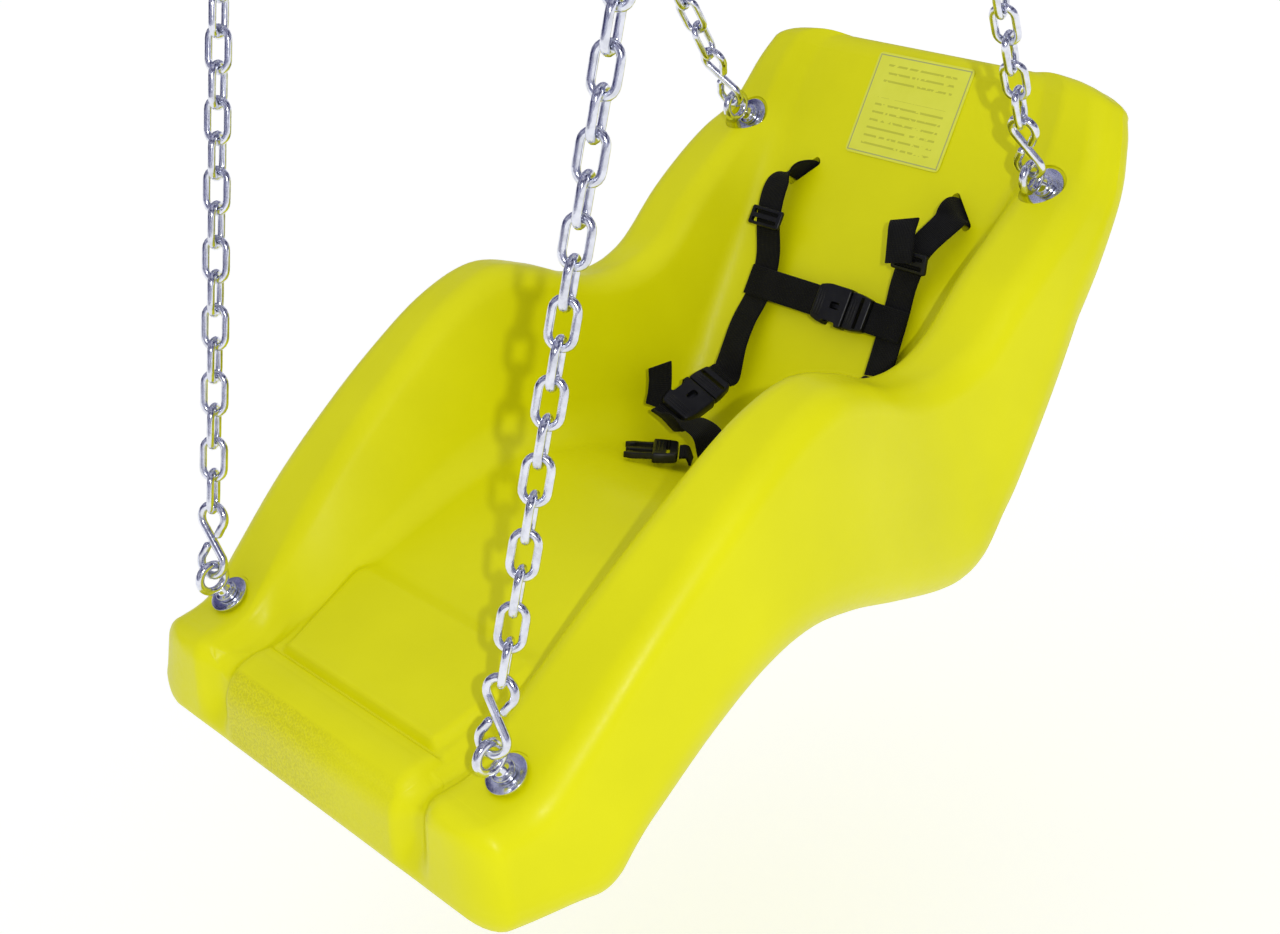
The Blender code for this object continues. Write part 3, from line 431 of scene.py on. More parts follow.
def mesh_of(work):
    bmesh.ops.recalc_face_normals(work, faces=work.faces)
    mesh = bpy.data.meshes.new("made")
    work.to_mesh(mesh)
    work.free()
    return mesh


def bridge(work, rings, closed=False):
    """Faces between neighbouring rings; a ring may be one vertex, and closed joins the last to the first."""
    for here, following in zip(rings, rings[1:] + rings[:1] if closed else rings[1:]):
        count = max(len(here), len(following))
        for k in range(count):
            j = (k + 1) % count
            corners = (here[k % len(here)], here[j % len(here)], following[j % len(following)],
                       following[k % len(following)])
            distinct = list(dict.fromkeys(corners))
            if len(distinct) > 2:
                work.faces.new(distinct)


def stack(work, rings):
    """Closed body from rings laid over each other."""
    bridge(work, rings)
    work.faces.new(rings[0])
    work.faces.new(rings[-1])


def catmull_rom(rows, at):
    """Smooth interpolation of a table's rows at a fractional row."""
    table = np.array(rows, float)
    i = min(int(at), len(table) - 2)
    t = at - i
    before, this, after = table[max(i - 1, 0)], table[i], table[i + 1]
    beyond = table[min(i + 2, len(table) - 1)]
    return 0.5 * (2 * this + (after - before) * t + (2 * before - 5 * this + 4 * after - beyond) * t ** 2
                  + (3 * this - before - 3 * after + beyond) * t ** 3)


def curved(points, per_span):
    """Smooth curve through the points."""
    table = [tuple(p) for p in points]
    return [Vector(catmull_rom(table, i + k / per_span))
            for i in range(len(table) - 1) for k in range(per_span)] + [Vector(table[-1])]


def tube(work, points, radii, sides=14, closed=False, start_wide=X_AXIS):
    """Round bar along the points, its radius a number or one per point."""
    count = len(points)
    radii = [radii] * count if isinstance(radii, float) else radii
    wide = start_wide
    rings = []
    for i, point in enumerate(points):
        if closed:
            ahead = points[(i + 1) % count] - points[i - 1]
        else:
            ahead = points[min(i + 1, count - 1)] - points[max(i - 1, 0)]
        ahead = ahead.normalized()
        wide = (wide - ahead * wide.dot(ahead)).normalized()
        deep = ahead.cross(wide)
        rings.append([work.verts.new(point + (wide * math.cos(a) + deep * math.sin(a)) * radii[i])
                      for a in round_angles(sides)])
    if closed:
        bridge(work, rings, True)
    else:
        stack(work, rings)
    return work


def domed(points, radius, steps=4):
    """The points and radii of a bar whose two ends are rounded off."""
    first, last = points[0], points[-1]
    lead = (points[1] - first).normalized()
    trail = (last - points[-2]).normalized()
    angles = [0.5 * math.pi * k / steps for k in range(steps + 1)]
    rise = [max(radius * math.sin(a), radius * 0.12) for a in angles[:-1]]
    fall = [max(radius * math.cos(a), radius * 0.12) for a in angles[1:]]
    out = [first - lead * radius * math.cos(a) for a in angles[:-1]] + list(points)
    out += [last + trail * radius * math.sin(a) for a in angles[1:]]
    return out, rise + [radius] * len(points) + fall


def turned(work, profile, steps=48):
    """Closed (radius, z) profile turned about Z."""
    rings = [[work.verts.new((r * math.cos(a), r * math.sin(a), z)) for a in round_angles(steps)] if r
             else [work.verts.new((0, 0, z))] for r, z in profile]
    bridge(work, rings, True)
    return work


def rounded(corners, radii, steps, share, keep_axis=False):
    """Closed outline with its corners rounded; a corner cuts at most `share` of the edges beside it."""
    count = len(corners)
    result = []
    for i in range(count):
        here = Vector(corners[i])
        if keep_axis and here.x == 0:
            result.append(tuple(here))
            continue
        before, after = Vector(corners[i - 1]) - here, Vector(corners[(i + 1) % count]) - here
        cut_back = min(radii[i], before.length * share, after.length * share)
        start, end = here + before.normalized() * cut_back, here + after.normalized() * cut_back
        result += [tuple(start * (1 - t) ** 2 + here * 2 * t * (1 - t) + end * t ** 2)
                   for t in (k / steps for k in range(steps + 1))]
    return result


def softened(profile, radius):
    """Closed (radius, z) profile with its corners rounded; corners on the axis stay."""
    return rounded(profile, [radius] * len(profile), 3, 0.45, True)


def twin_outline(half, steps=5):
    """Closed outline from (across, up, corner radius) on the right side, mirrored on the left."""
    points = [(u, w) for u, w, _ in half] + [(-u, w) for u, w, _ in reversed(half)]
    radii = [radius for _, _, radius in half]
    return rounded(points, radii + radii[::-1], steps, 0.48)


def turned_piece(node, profile, place, corner=0.0004):
    add_piece(node, mesh_of(turned(bmesh.new(), softened(profile, corner))), place)


def turned_mesh(profile, place, steps=48):
    work = turned(bmesh.new(), profile, steps)
    bmesh.ops.transform(work, matrix=place, verts=work.verts)
    return mesh_of(work)


def drill(radius, reach, place, steps=32):
    """Cylinder about the place's Z, to cut a hole with."""
    return turned_mesh([(0, -reach), (radius, -reach), (radius, reach), (0, reach)], place, steps)


def rounded_box(work, size, place, radius, segments=3):
    """Box with rounded edges, added to the mesh being made."""
    made = bmesh.ops.create_cube(work, size=1.0, matrix=Matrix.Diagonal((*size, 1)))
    verts = made["verts"]
    edges = list({edge for vert in verts for edge in vert.link_edges})
    result = bmesh.ops.bevel(work, geom=edges, offset=radius, segments=segments, affect="EDGES", profile=0.5)
    fresh = set(result["verts"]) | {vert for vert in verts if vert.is_valid}
    bmesh.ops.transform(work, matrix=place, verts=list(fresh))
    return work


def smoothstep(low, high, value):
    t = np.clip((value - low) / (high - low), 0.0, 1.0)
    return t * t * (3 - 2 * t)

def cut(mesh, cutters, overlapping=False):
    """The mesh minus every cutter mesh, by the exact Boolean; overlapping bodies in the mesh are merged."""
    target = linked("cut_target", mesh)
    tools = [linked("cut_tool", cutter) for cutter in cutters]
    for tool in tools:
        step = target.modifiers.new("cut", "BOOLEAN")
        step.operation, step.solver, step.object = "DIFFERENCE", "EXACT", tool
        step.use_self = overlapping
    bpy.context.view_layer.update()
    done = bpy.data.meshes.new_from_object(target.evaluated_get(bpy.context.evaluated_depsgraph_get()))
    for stale in [target] + tools:
        bpy.data.objects.remove(stale, do_unlink=True)
    return done


def box_mesh(size, place, radius):
    return mesh_of(rounded_box(bmesh.new(), size, place, radius))


# ---- moulded shell
def half_outline(corners, radii):
    """Half section with rounded corners, its straight runs divided too."""
    arcs = []
    for i in range(1, len(corners) - 1):
        here = corners[i]
        to_last, to_next = corners[i - 1] - here, corners[i + 1] - here
        len_last, len_next = np.linalg.norm(to_last), np.linalg.norm(to_next)
        to_last, to_next = to_last / len_last, to_next / len_next
        half = 0.5 * math.acos(max(-0.99999, min(0.99999, float(to_last @ to_next))))
        reach = min(radii[i] / math.tan(half), 0.48 * len_last, 0.48 * len_next)
        radius = reach * math.tan(half)
        centre = here + (to_last + to_next) / np.linalg.norm(to_last + to_next) * radius / math.sin(half)
        start, end = here + to_last * reach - centre, here + to_next * reach - centre
        first, last = math.atan2(start[1], start[0]), math.atan2(end[1], end[0])
        turn = (last - first + math.pi) % (2 * math.pi) - math.pi
        arcs.append([centre + radius * np.array([math.cos(a), math.sin(a)])
                     for a in (first + turn * k / (FILLET_STEPS - 1) for k in range(FILLET_STEPS))])
    stops = [[corners[0]]] + arcs + [[corners[-1]]]
    points = []
    for run, following, steps in zip(stops, stops[1:], RUN_STEPS):
        points += run
        points += [run[-1] + (following[0] - run[-1]) * k / steps for k in range(1, steps)]
    return points + [corners[-1]]

RUN_STEPS = (PAN_STEPS, WALL_STEPS, 6, 6, 30)          # points along each straight run of a half section
PARTING = sum(RUN_STEPS[:4]) + 3 * (FILLET_STEPS - 1)  # index of the widest point, on the parting line


def fine_loop(row, inset=0.0, plan=0.0, shift=0.0):
    """Closed fine section in the seat's frame, as an array of points."""
    base_y, base_z, rim_y, rim_z, pan, inner, outer, wide, depth, r_in, r_low = row
    base = np.array([base_y, base_z])
    up = np.array([rim_y, rim_z]) - base
    rise = np.linalg.norm(up)
    up = up / rise
    along = np.array([up[1], -up[0]])
    corners = [np.array(p) for p in (
        (0.0, -inset), (pan + inset, -inset), (inner + inset, rise - inset),
        (outer - inset, rise - inset - 0.004), (wide - inset, inset - depth), (0.0, inset - depth))]
    radii = [0, max(r_in - inset, 0.004), 0.022 - inset, 0.022 - inset, max(r_low - inset, 0.004), 0]
    half = half_outline(corners, radii)
    flat = np.array(half + [np.array([-p[0], p[1]]) for p in reversed(half[1:-1])])
    narrow = 1 - plan / wide
    spots = base + flat[:, 1:2] * up + shift * along
    return np.column_stack([flat[:, 0] * narrow, spots])


def end_loops(row, rounding, sign, steps=9):
    reach, plan, depth = rounding
    angles = [0.5 * math.pi * k / steps for k in range(1, steps + 1)]
    return [fine_loop(row, depth * (1 - math.cos(a)) * 0.9, plan * (1 - math.cos(a)),
                      sign * reach * math.sin(a)) for a in angles]


def cap(work, ring, spacing):
    """Close a flat ring of vertices with a fine net of triangles."""
    spots = np.array([vert.co for vert in ring])
    middle = spots.mean(axis=0)
    normal = np.array([0.0, 0.0, 0.0])
    for here, following in zip(spots, np.roll(spots, -1, axis=0)):
        normal += np.cross(here - middle, following - middle)
    normal /= np.linalg.norm(normal)
    second = np.cross(normal, (1.0, 0.0, 0.0))
    flat = np.column_stack([spots[:, 0], (spots - middle) @ second])
    low, high = flat.min(axis=0), flat.max(axis=0)
    inner = []
    for u in np.arange(low[0] + spacing / 2, high[0], spacing):
        for v in np.arange(low[1] + spacing / 2, high[1], spacing):
            if point_inside(flat, u, v, spacing * 0.35):
                inner.append((u, v))
    coords = [Vector(p) for p in flat] + [Vector(p) for p in inner]
    loop = list(range(len(ring)))
    done = delaunay_2d_cdt(coords, [], [loop], 1, 1e-7)
    verts = {}
    for k, origins in enumerate(done[3]):
        rim = [o for o in origins if o < len(ring)]
        u, v = done[0][k]
        verts[k] = ring[rim[0]] if rim else work.verts.new(
            (u, middle[1] + second[1] * v, middle[2] + second[2] * v))
    for face in done[2]:
        corners = [verts[k] for k in face]
        if len(set(corners)) == len(corners):
            work.faces.new(corners)


def point_inside(outline, u, v, margin):
    """True if (u, v) is inside the closed outline and further than margin from it."""
    start, end = outline, np.roll(outline, -1, axis=0)
    crosses = (start[:, 1] > v) != (end[:, 1] > v)
    with np.errstate(divide="ignore", invalid="ignore"):
        reach = (end[:, 0] - start[:, 0]) * (v - start[:, 1]) / (end[:, 1] - start[:, 1]) + start[:, 0]
    inside = np.count_nonzero(crosses & (u < reach)) % 2 == 1
    return inside and np.hypot(outline[:, 0] - u, outline[:, 1] - v).min() > margin

def shell_relief(co, normal):
    """How far the moulding stands out, along its normal, from the plain lofted surface."""
    wide, y = np.abs(co[:, 0]), co[:, 1]
    in_front = y < 0.2
    facing = smoothstep(-0.95, -0.70, normal[:, 2]) * in_front * smoothstep(-0.102, -0.068, co[:, 2])
    upward = smoothstep(0.5, 0.8, normal[:, 2]) * in_front
    valley = smoothstep(*VALLEY_INNER, wide) * (1 - smoothstep(*VALLEY_OUTER, wide))
    valley *= 1 - smoothstep(*VALLEY_END, y)
    narrow, broad = PLATEAU_WIDE
    side = narrow + (broad - narrow) * (y - PLATEAU_START) / (PLATEAU_END - PLATEAU_START)
    over_x, over_y = wide - (side - PLATEAU_CORNER), y - (PLATEAU_END - PLATEAU_CORNER)
    distance = (np.hypot(np.maximum(over_x, 0), np.maximum(over_y, 0)) - PLATEAU_CORNER
                + np.minimum(np.maximum(over_x, over_y), 0))
    plateau = 1 - smoothstep(-PLATEAU_SOFT, PLATEAU_SOFT, distance)
    plateau *= smoothstep(STEP_LINE, STEP_LINE + 0.0060, y)
    bar = (1 - smoothstep(0.094, 0.106, wide)) * (1 - smoothstep(STEP_LINE - 0.0040, STEP_LINE, y))
    groove = np.exp(-((y - STEP_LINE) / GROOVE_HALF) ** 2) * (1 - smoothstep(0.096, 0.106, wide))
    return (facing * valley * -VALLEY_DEPTH
            + upward * (plateau * PLATEAU_RISE + bar * BAR_RISE - groove * GROOVE_DEPTH))


def round_front(co):
    """Turn the front top edge into a full round, larger along the bar than on the bosses."""
    wide = np.abs(co[:, 0])
    radius = BOSS_ROUND + (BAR_ROUND - BOSS_ROUND) * (1 - smoothstep(0.100, 0.135, wide))
    middle_y = FRONT_PLANE + radius
    middle_z = FRONT_TOP - radius + BOSS_RISE * smoothstep(0.108, 0.134, wide)
    dy, dz = np.minimum(co[:, 1] - middle_y, 0), np.maximum(co[:, 2] - middle_z, 0)
    reach = np.hypot(dy, dz)
    shrink = np.where((dy < 0) & (dz > 0) & (reach > radius), radius / np.maximum(reach, 1e-6), 1.0)
    co[:, 1] = np.where(shrink < 1, middle_y + dy * shrink, co[:, 1])
    co[:, 2] = np.where(shrink < 1, middle_z + dz * shrink, co[:, 2])
    return co


def arrays_of(mesh):
    """The vertices' places and normals."""
    return tuple(np.array([getattr(vert, what) for vert in mesh.vertices]) for what in ("co", "normal"))


def put_points(mesh, co):
    mesh.vertices.foreach_set("co", co.ravel())
    mesh.update()


def fine_shell():
    last = len(SECTIONS) - 1.0
    spots = list(np.linspace(0, FRONT_ROWS - 1.0, FINE_ROWS_FRONT, endpoint=False))
    spots += list(np.linspace(FRONT_ROWS - 1.0, last, FINE_ROWS_REST))
    rows = [catmull_rom(SECTIONS, at) for at in spots]
    loops = end_loops(rows[0], FRONT_ROUND, -1)[::-1] + [fine_loop(row) for row in rows]
    loops += end_loops(rows[-1], TOP_ROUND, 1)
    work = bmesh.new()
    rings = [[work.verts.new(p) for p in loop] for loop in loops]
    bridge(work, rings, False)
    cap(work, rings[0], 0.0025)
    cap(work, rings[-1], 0.006)
    for ring in rings:
        for spot in (ring[PARTING].co, ring[-PARTING].co):
            spot.x += math.copysign(PARTING_BEAD, spot.x)
    mesh = mesh_of(work)
    put_points(mesh, round_front(arrays_of(mesh)[0]))
    co, normal = arrays_of(mesh)
    put_points(mesh, co + normal * shell_relief(co, normal)[:, None])
    mesh = cut(mesh, shell_cutters())
    co, normal = arrays_of(mesh)
    # Stipple mask on the lower front face, fading towards +x; it sets the stipple's pits and where they are
    # painted darker as shade.
    front = smoothstep(0.55, 0.80, -normal[:, 1]) * (co[:, 1] < 0.03) * (co[:, 2] < -0.040)
    front *= 1 - smoothstep(BAR_END - 0.012, BAR_END - 0.004, np.abs(co[:, 0]))
    front *= 1 - 0.75 * smoothstep(-0.03, 0.07, co[:, 0])
    stipple = mesh.attributes.new("stipple", "FLOAT", "POINT")
    stipple.data.foreach_set("value", front.astype(np.float32))
    add_piece("seat_shell", mesh, smooth_angle=38)


def shell_cutters():
    """Eye pockets, strap slots and vents."""
    cutters = []
    under, shank_bore, pocket = -SEAT_FACE - EYE_SKIN, SHANK_RADIUS + GAP, 0.0185
    profile = [(0, 0.03), (0.0205, 0.03), (0.0176, -SEAT_FACE + 0.0020), (0.0172, -SEAT_FACE + 0.0005),
               (0.0168, -SEAT_FACE), (shank_bore, -SEAT_FACE), (shank_bore, under),
               (pocket, under), (pocket, under - 0.11), (0, under - 0.11)]
    for place, hand in CORNERS:
        cutters.append(turned_mesh(profile, eye_frame(place, side_of(hand)), 64))
    for which in ("left", "right", "crotch"):
        cutters.append(box_mesh((*SLOT, 0.16), slot_frame(which), 0.0030))
    for side in (-1, 1):
        cutters.append(drill(0.005, 0.03, shift(0.06 * side, 0.230, -0.005)))
    return cutters


def fine_label():
    work = bmesh.new()
    wide, tall, thick = LABEL
    corner = 0.004
    outline = [(cx * (wide / 2 - corner) + u, v)
               for cx, cz, first in ((1, 1, 0), (-1, 1, 90), (-1, -1, 180), (1, -1, 270))
               for u, v in arc(corner, first, first + 90, 7, cz * (tall / 2 - corner))]
    stack(work, [[work.verts.new((u * s, y, v * s)) for u, v in outline]
                 for s, y in ((1, thick / 2), (1, -thick / 4), (0.998, -thick / 2))])
    weave = work.loops.layers.uv.new("weave")
    for face in work.faces:
        for loop in face.loops:
            loop[weave].uv = (loop.vert.co.x / wide + 0.5, loop.vert.co.z / tall + 0.5)
    add_piece("label", mesh_of(work), SEAT_TO_WORLD @ axes(back_at(0, 0.065, thick / 2 + GAP), X_AXIS, UP_BACK))


fine_shell()
fine_label()


# ---- eyes, hooks and chains
def fine_eye(place, hand):
    tag = f"{place}_{hand}"
    world = SEAT_TO_WORLD @ eye_frame(place, side_of(hand))
    washer_low = -SEAT_FACE - EYE_SKIN - GAP - WASHER_THICK
    nut_low = washer_low - GAP - NUT_HEIGHT
    work = bmesh.new()
    circle = [Vector((0, EYE_RADIUS * math.cos(a), EYE_RADIUS * math.sin(a))) for a in round_angles(56)]
    tube(work, circle, EYE_WIRE, 20, True)
    collar, collar_low, tip = 0.0085, -SEAT_FACE + WASHER_THICK + GAP, nut_low - 0.003
    turned(work, softened([
        (0, -EYE_RADIUS), (0.0034, -EYE_RADIUS), (0.0048, -0.0150), (0.0056, -0.0160), (collar, -0.0166),
        (collar, collar_low), (SHANK_RADIUS, collar_low), (SHANK_RADIUS, tip), (0, tip)], 0.0006))
    add_piece(f"eye_bolt_{tag}", mesh_of(work), world)
    bore = SHANK_RADIUS + GAP
    for node, outer, low, high in (
            (f"eye_washer_{tag}", WASHER_RADIUS, -SEAT_FACE + GAP, -SEAT_FACE + WASHER_THICK),
            (f"backing_washer_{tag}", WASHER_RADIUS + 0.002, washer_low, washer_low + WASHER_THICK)):
        turned_piece(node, [(bore, low), (outer, low), (outer, high), (bore, high)], world, 0.0005)
    add_piece(f"lock_nut_{tag}", hex_nut(NUT_FLATS / math.sqrt(3), bore, nut_low, nut_low + NUT_HEIGHT), world)


def hex_nut(corner_radius, bore, low, high):
    """Hexagonal nut with chamfered corners."""
    work = bmesh.new()
    chamfer, cut_share = 0.0009, 0.90
    flat = corner_radius * math.cos(math.pi / 6)
    rings = []
    for z, share in ((low, cut_share), (low + chamfer, 1), (high - chamfer, 1), (high, cut_share),
                     (high, 0), (low, 0)):
        ring = []
        for angle in round_angles(48):
            hexagon = flat / math.cos((angle + math.pi / 6) % (math.pi / 3) - math.pi / 6)
            radius = min(hexagon, corner_radius * share) if share else bore
            ring.append(work.verts.new((radius * math.cos(angle), radius * math.sin(angle), z)))
        rings.append(ring)
    bridge(work, rings, True)
    return mesh_of(work)


def fine_s_hook(place, hand):
    low_centre = EYE_RADIUS - EYE_WIRE - HOOK_WIRE - HOOK_PLAY + HOOK_LOOP
    high_centre = low_centre + HOOK_LENGTH - 2 * HOOK_WIRE - 2 * HOOK_LOOP
    tip_across, tip_up = 0.0048, 0.0118
    flat = [(-tip_across, low_centre + tip_up)] + arc(HOOK_LOOP, 140, 400, 27, low_centre)
    flat += arc(HOOK_LOOP, 220, -40, 27, high_centre) + [(tip_across, high_centre - tip_up)]
    points, radii = domed([Vector((u, 0, v)) for u, v in flat], HOOK_WIRE)
    work = tube(bmesh.new(), points, radii, 18, start_wide=Vector((0, 1, 0)))
    turn = Matrix.Rotation(HOOK_TURN[place], 4, "Z")
    add_piece(f"s_hook_{place}_{hand}", mesh_of(work), SEAT_TO_WORLD @ chain_line(place, hand)[2] @ turn)


def fine_chain(place, hand):
    """Every link of the chain, alternate ones turned a quarter, the whole twisted a little."""
    eye, top, line = chain_line(place, hand)
    count = CHAIN_LINKS[place]
    pitch = ((top - eye).length - LAST_LINK - FIRST_LINK) / (count - 1)
    bend = 0.00785
    straight = pitch / 2 + CHAIN_WIRE / 2 - bend
    flat = arc(bend, 0, 180, 11, straight) + [(-bend, straight * (1 - 2 * k / 3)) for k in (1, 2)]
    flat += [(-u, -v) for u, v in flat]
    work = bmesh.new()
    for k in range(count):
        turn = LINK_TURN[place] * (1 - k / (count - 1)) + (0.5 * math.pi if k % 2 == 0 else 0)
        link = shift(0, 0, FIRST_LINK + pitch * k) @ Matrix.Rotation(turn, 4, "Z")
        tube(work, [link @ Vector((u, 0, v)) for u, v in flat], CHAIN_WIRE / 2, 12, True,
             link.to_3x3() @ Vector((0, 1, 0)))
    add_piece(f"chain_{place}_{hand}", mesh_of(work), SEAT_TO_WORLD @ line, "links", 180)


for place_name, hand_name in CORNERS:
    fine_eye(place_name, hand_name)
    fine_s_hook(place_name, hand_name)
    fine_chain(place_name, hand_name)


# ---- hangers
def fine_hanger(hand):
    pin = pin_frame(hand)
    centre = shift(side_of(hand) * HANGER_X, 0, 0)
    half, bore, head = TUBE_LENGTH / 2, PIN_RADIUS + GAP, 0.0092
    work = turned(bmesh.new(), softened([(YOKE_BORE, -half), (YOKE_TUBE, -half), (YOKE_TUBE, half),
                                         (YOKE_BORE, half)], 0.0006))
    bmesh.ops.transform(work, matrix=pin, verts=work.verts)
    spot = centre @ shift(0, 0, -HANGER_DROP - PIN_TO_RING)
    circle = [spot @ Vector((YOKE_RING * math.cos(a), 0, YOKE_RING * math.sin(a))) for a in round_angles(64)]
    tube(work, circle, YOKE_WIRE, 22, True, Vector((0, 1, 0)))
    add_piece(f"hanger_yoke_{hand}", mesh_of(work), Matrix())
    turned_piece(f"pivot_bush_{hand}", [(bore, -half), (BUSH_RADIUS, -half), (BUSH_RADIUS, half),
                                        (bore, half)], pin)
    inner = half + 0.0015
    outer, softening = inner + EAR_THICK, 0.0006
    work = rounded_box(bmesh.new(), PLATE, centre @ shift(0, 0, -PLATE[2] / 2), 0.0012)
    ear_top = -PLATE[2] + 0.002
    outline = [(-EAR_WIDTH / 2, ear_top), (EAR_WIDTH / 2, ear_top)]
    outline += arc(EAR_WIDTH / 2, 0, -180, 33, -HANGER_DROP)
    for end in (-1, 1):
        levels = ((inner, 0.97), (inner + softening, 1.0), (outer - softening, 1.0), (outer, 0.97))
        stack(work, [[work.verts.new(centre @ Vector((
            end * x, u * s, -HANGER_DROP + (v + HANGER_DROP) * (s if v < -0.03 else 1)))) for u, v in outline]
            for x, s in levels])
    holes = [drill(bore, 0.04, pin, 40)]
    holes += [drill(0.0045, 0.02, centre @ shift(x, y, 0)) for x in (-0.0165, 0.0165) for y in (-0.033, 0.033)]
    add_piece(f"hanger_bracket_{hand}", cut(mesh_of(work), holes, True), Matrix())
    nut_in = outer + GAP
    head_end, tip = -nut_in - 0.0064, nut_in + 0.0115
    turned_piece(f"pivot_bolt_{hand}", [(0, head_end), (head, head_end), (head, -nut_in), (PIN_RADIUS, -nut_in),
                                        (PIN_RADIUS, tip), (0, tip)], pin, 0.0009)
    add_piece(f"pivot_nut_{hand}", hex_nut(head, bore, nut_in, nut_in + 0.009), pin)


def fine_snap_hook(hand):
    place = snap_frame(hand)
    gate_across = 0.0155
    flat = [(SNAP_BOTTOM, 0.0020)] + arc(SNAP_BOTTOM, -15, -180, 24) + arc(SNAP_TOP, 180, 15, 24, SNAP_SPAN)
    flat += [(gate_across, SNAP_SPAN - 0.003)]
    points, radii = domed([Vector((0, u, v)) for u, v in flat], SNAP_WIRE)
    add_piece(f"snap_hook_{hand}", mesh_of(tube(bmesh.new(), points, radii, 22)), place)
    foot, head, spans = Vector((0, SNAP_BOTTOM, GATE_FOOT)), Vector((0, gate_across, GATE_HEAD)), 8
    bar = [foot.lerp(head, k / spans) for k in range(spans + 1)]
    radii = [GATE_WIRE * (1 if k in (0, 1, 7, 8) else 0.88) for k in range(spans + 1)]
    add_piece(f"snap_gate_{hand}", mesh_of(tube(bmesh.new(), bar, radii, 20)), place)


for hand_name in ("left", "right"):
    fine_hanger(hand_name)
    fine_snap_hook(hand_name)


# ---- harness
STRAP_SPANS = 14                              # steps of a strap's path between two knots


def webbing(node, knots, wides, bodies=None):
    """Flat woven strap through the knots, with its weave map in metres; given bodies, it rides on no body and
    its place is baked into its mesh.
    """
    path = curved(knots, STRAP_SPANS)
    across = curved([w.normalized() for w in wides], STRAP_SPANS)
    half, thick, edge = STRAP_WIDTH / 2, STRAP_THICK / 2, 0.0006
    side = [(-half + edge, -thick), (-half, -thick + edge), (-half, thick - edge), (-half + edge, thick)]
    face = [(-half * (1 - 2 * k / 7), thick) for k in range(1, 7)]
    section = side + face + [(-u, -v) for u, v in side] + [(-u, -thick) for u, _ in face]
    work = bmesh.new()
    weave = work.loops.layers.uv.new("weave")
    travelled, rings = [0.0], []
    for i, point in enumerate(path):
        place = axes(point, across[i].normalized(), path[min(i + 1, len(path) - 1)] - path[max(i - 1, 0)])
        rings.append([work.verts.new(place @ Vector((u, v, 0))) for u, v in section])
        if i:
            travelled.append(travelled[-1] + (point - path[i - 1]).length)
    bridge(work, rings)
    spot_of = {vert: (u, at) for ring, at in zip(rings, travelled) for vert, (u, _) in zip(ring, section)}
    for quad in work.faces:
        for loop in quad.loops:
            loop[weave].uv = spot_of[loop.vert]
    for ring, at in ((rings[0], 0.0), (rings[-1], travelled[-1])):
        for loop in work.faces.new(ring).loops:
            loop[weave].uv = (0, at)
    piece = add_piece(node, mesh_of(work), suffix="woven", smooth_angle=50, ride=bodies is None)
    if bodies:
        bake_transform(piece)


BUCKLE_WIDE, BUCKLE_THICK = 0.033, 0.0105
SOCKET_LENGTH, TONGUE_BASE, TONGUE_REACH = 0.034, 0.020, 0.026
CHEST_LINE, CHEST_MOUTH, CHEST_OFF = -0.1015, 0.0240, 0.013
STRAP_CLEAR = 0.0014
LEFT_MOUTH = Vector((-0.071, 0.4085, 0.0675))
LEFT_ALONG = Vector((0, -0.95, -0.31)).normalized()
LEFT_WIDE = Vector((0.88, 0, -0.47)).normalized()


def moulded_plate(outline, thick, crown=0.0012, levels=4):
    """Plate with the given (u, w) outline, its faces crowned and its edges rounded."""
    work = bmesh.new()
    spots = [Vector(p) for p in outline]
    normals = []
    for k, spot in enumerate(spots):
        edge_in = (spot - spots[k - 1]).normalized()
        edge_out = (spots[(k + 1) % len(spots)] - spot).normalized()
        bisect = Vector((edge_in.y + edge_out.y, -edge_in.x - edge_out.x))
        normals.append(bisect.normalized() if bisect.length > 1e-6 else Vector((edge_in.y, -edge_in.x)))
    area = sum(a.x * b.y - a.y * b.x for a, b in zip(spots, spots[1:] + spots[:1]))
    outward = 1 if area > 0 else -1
    rings = []
    for k in range(2 * levels + 1):
        angle = math.pi * k / (2 * levels)
        inset = outward * crown * (1 - math.sin(angle))
        height = (thick / 2 - crown) * (1 if k < levels else -1 if k > levels else 0) + crown * math.cos(angle)
        rings.append([work.verts.new((p.x - n.x * inset, height, p.y - n.y * inset))
                      for p, n in zip(spots, normals)])
    stack(work, rings)
    bmesh.ops.triangulate(work, faces=[face for face in work.faces if len(face.verts) > 4])
    return mesh_of(work)


def combined(meshes):
    work = bmesh.new()
    for mesh in meshes:
        work.from_mesh(mesh)
    return mesh_of(work)


def grip_ridges(low, high, wide, thick, count=3):
    """Small round ribs across both faces of a buckle."""
    return [box_mesh((wide, 0.0011, 0.0013),
                     shift(0, face * (thick / 2 - 0.0002), low + (high - low) * k / (count - 1)), 0.00045)
            for k in range(count) for face in (-1, 1)]


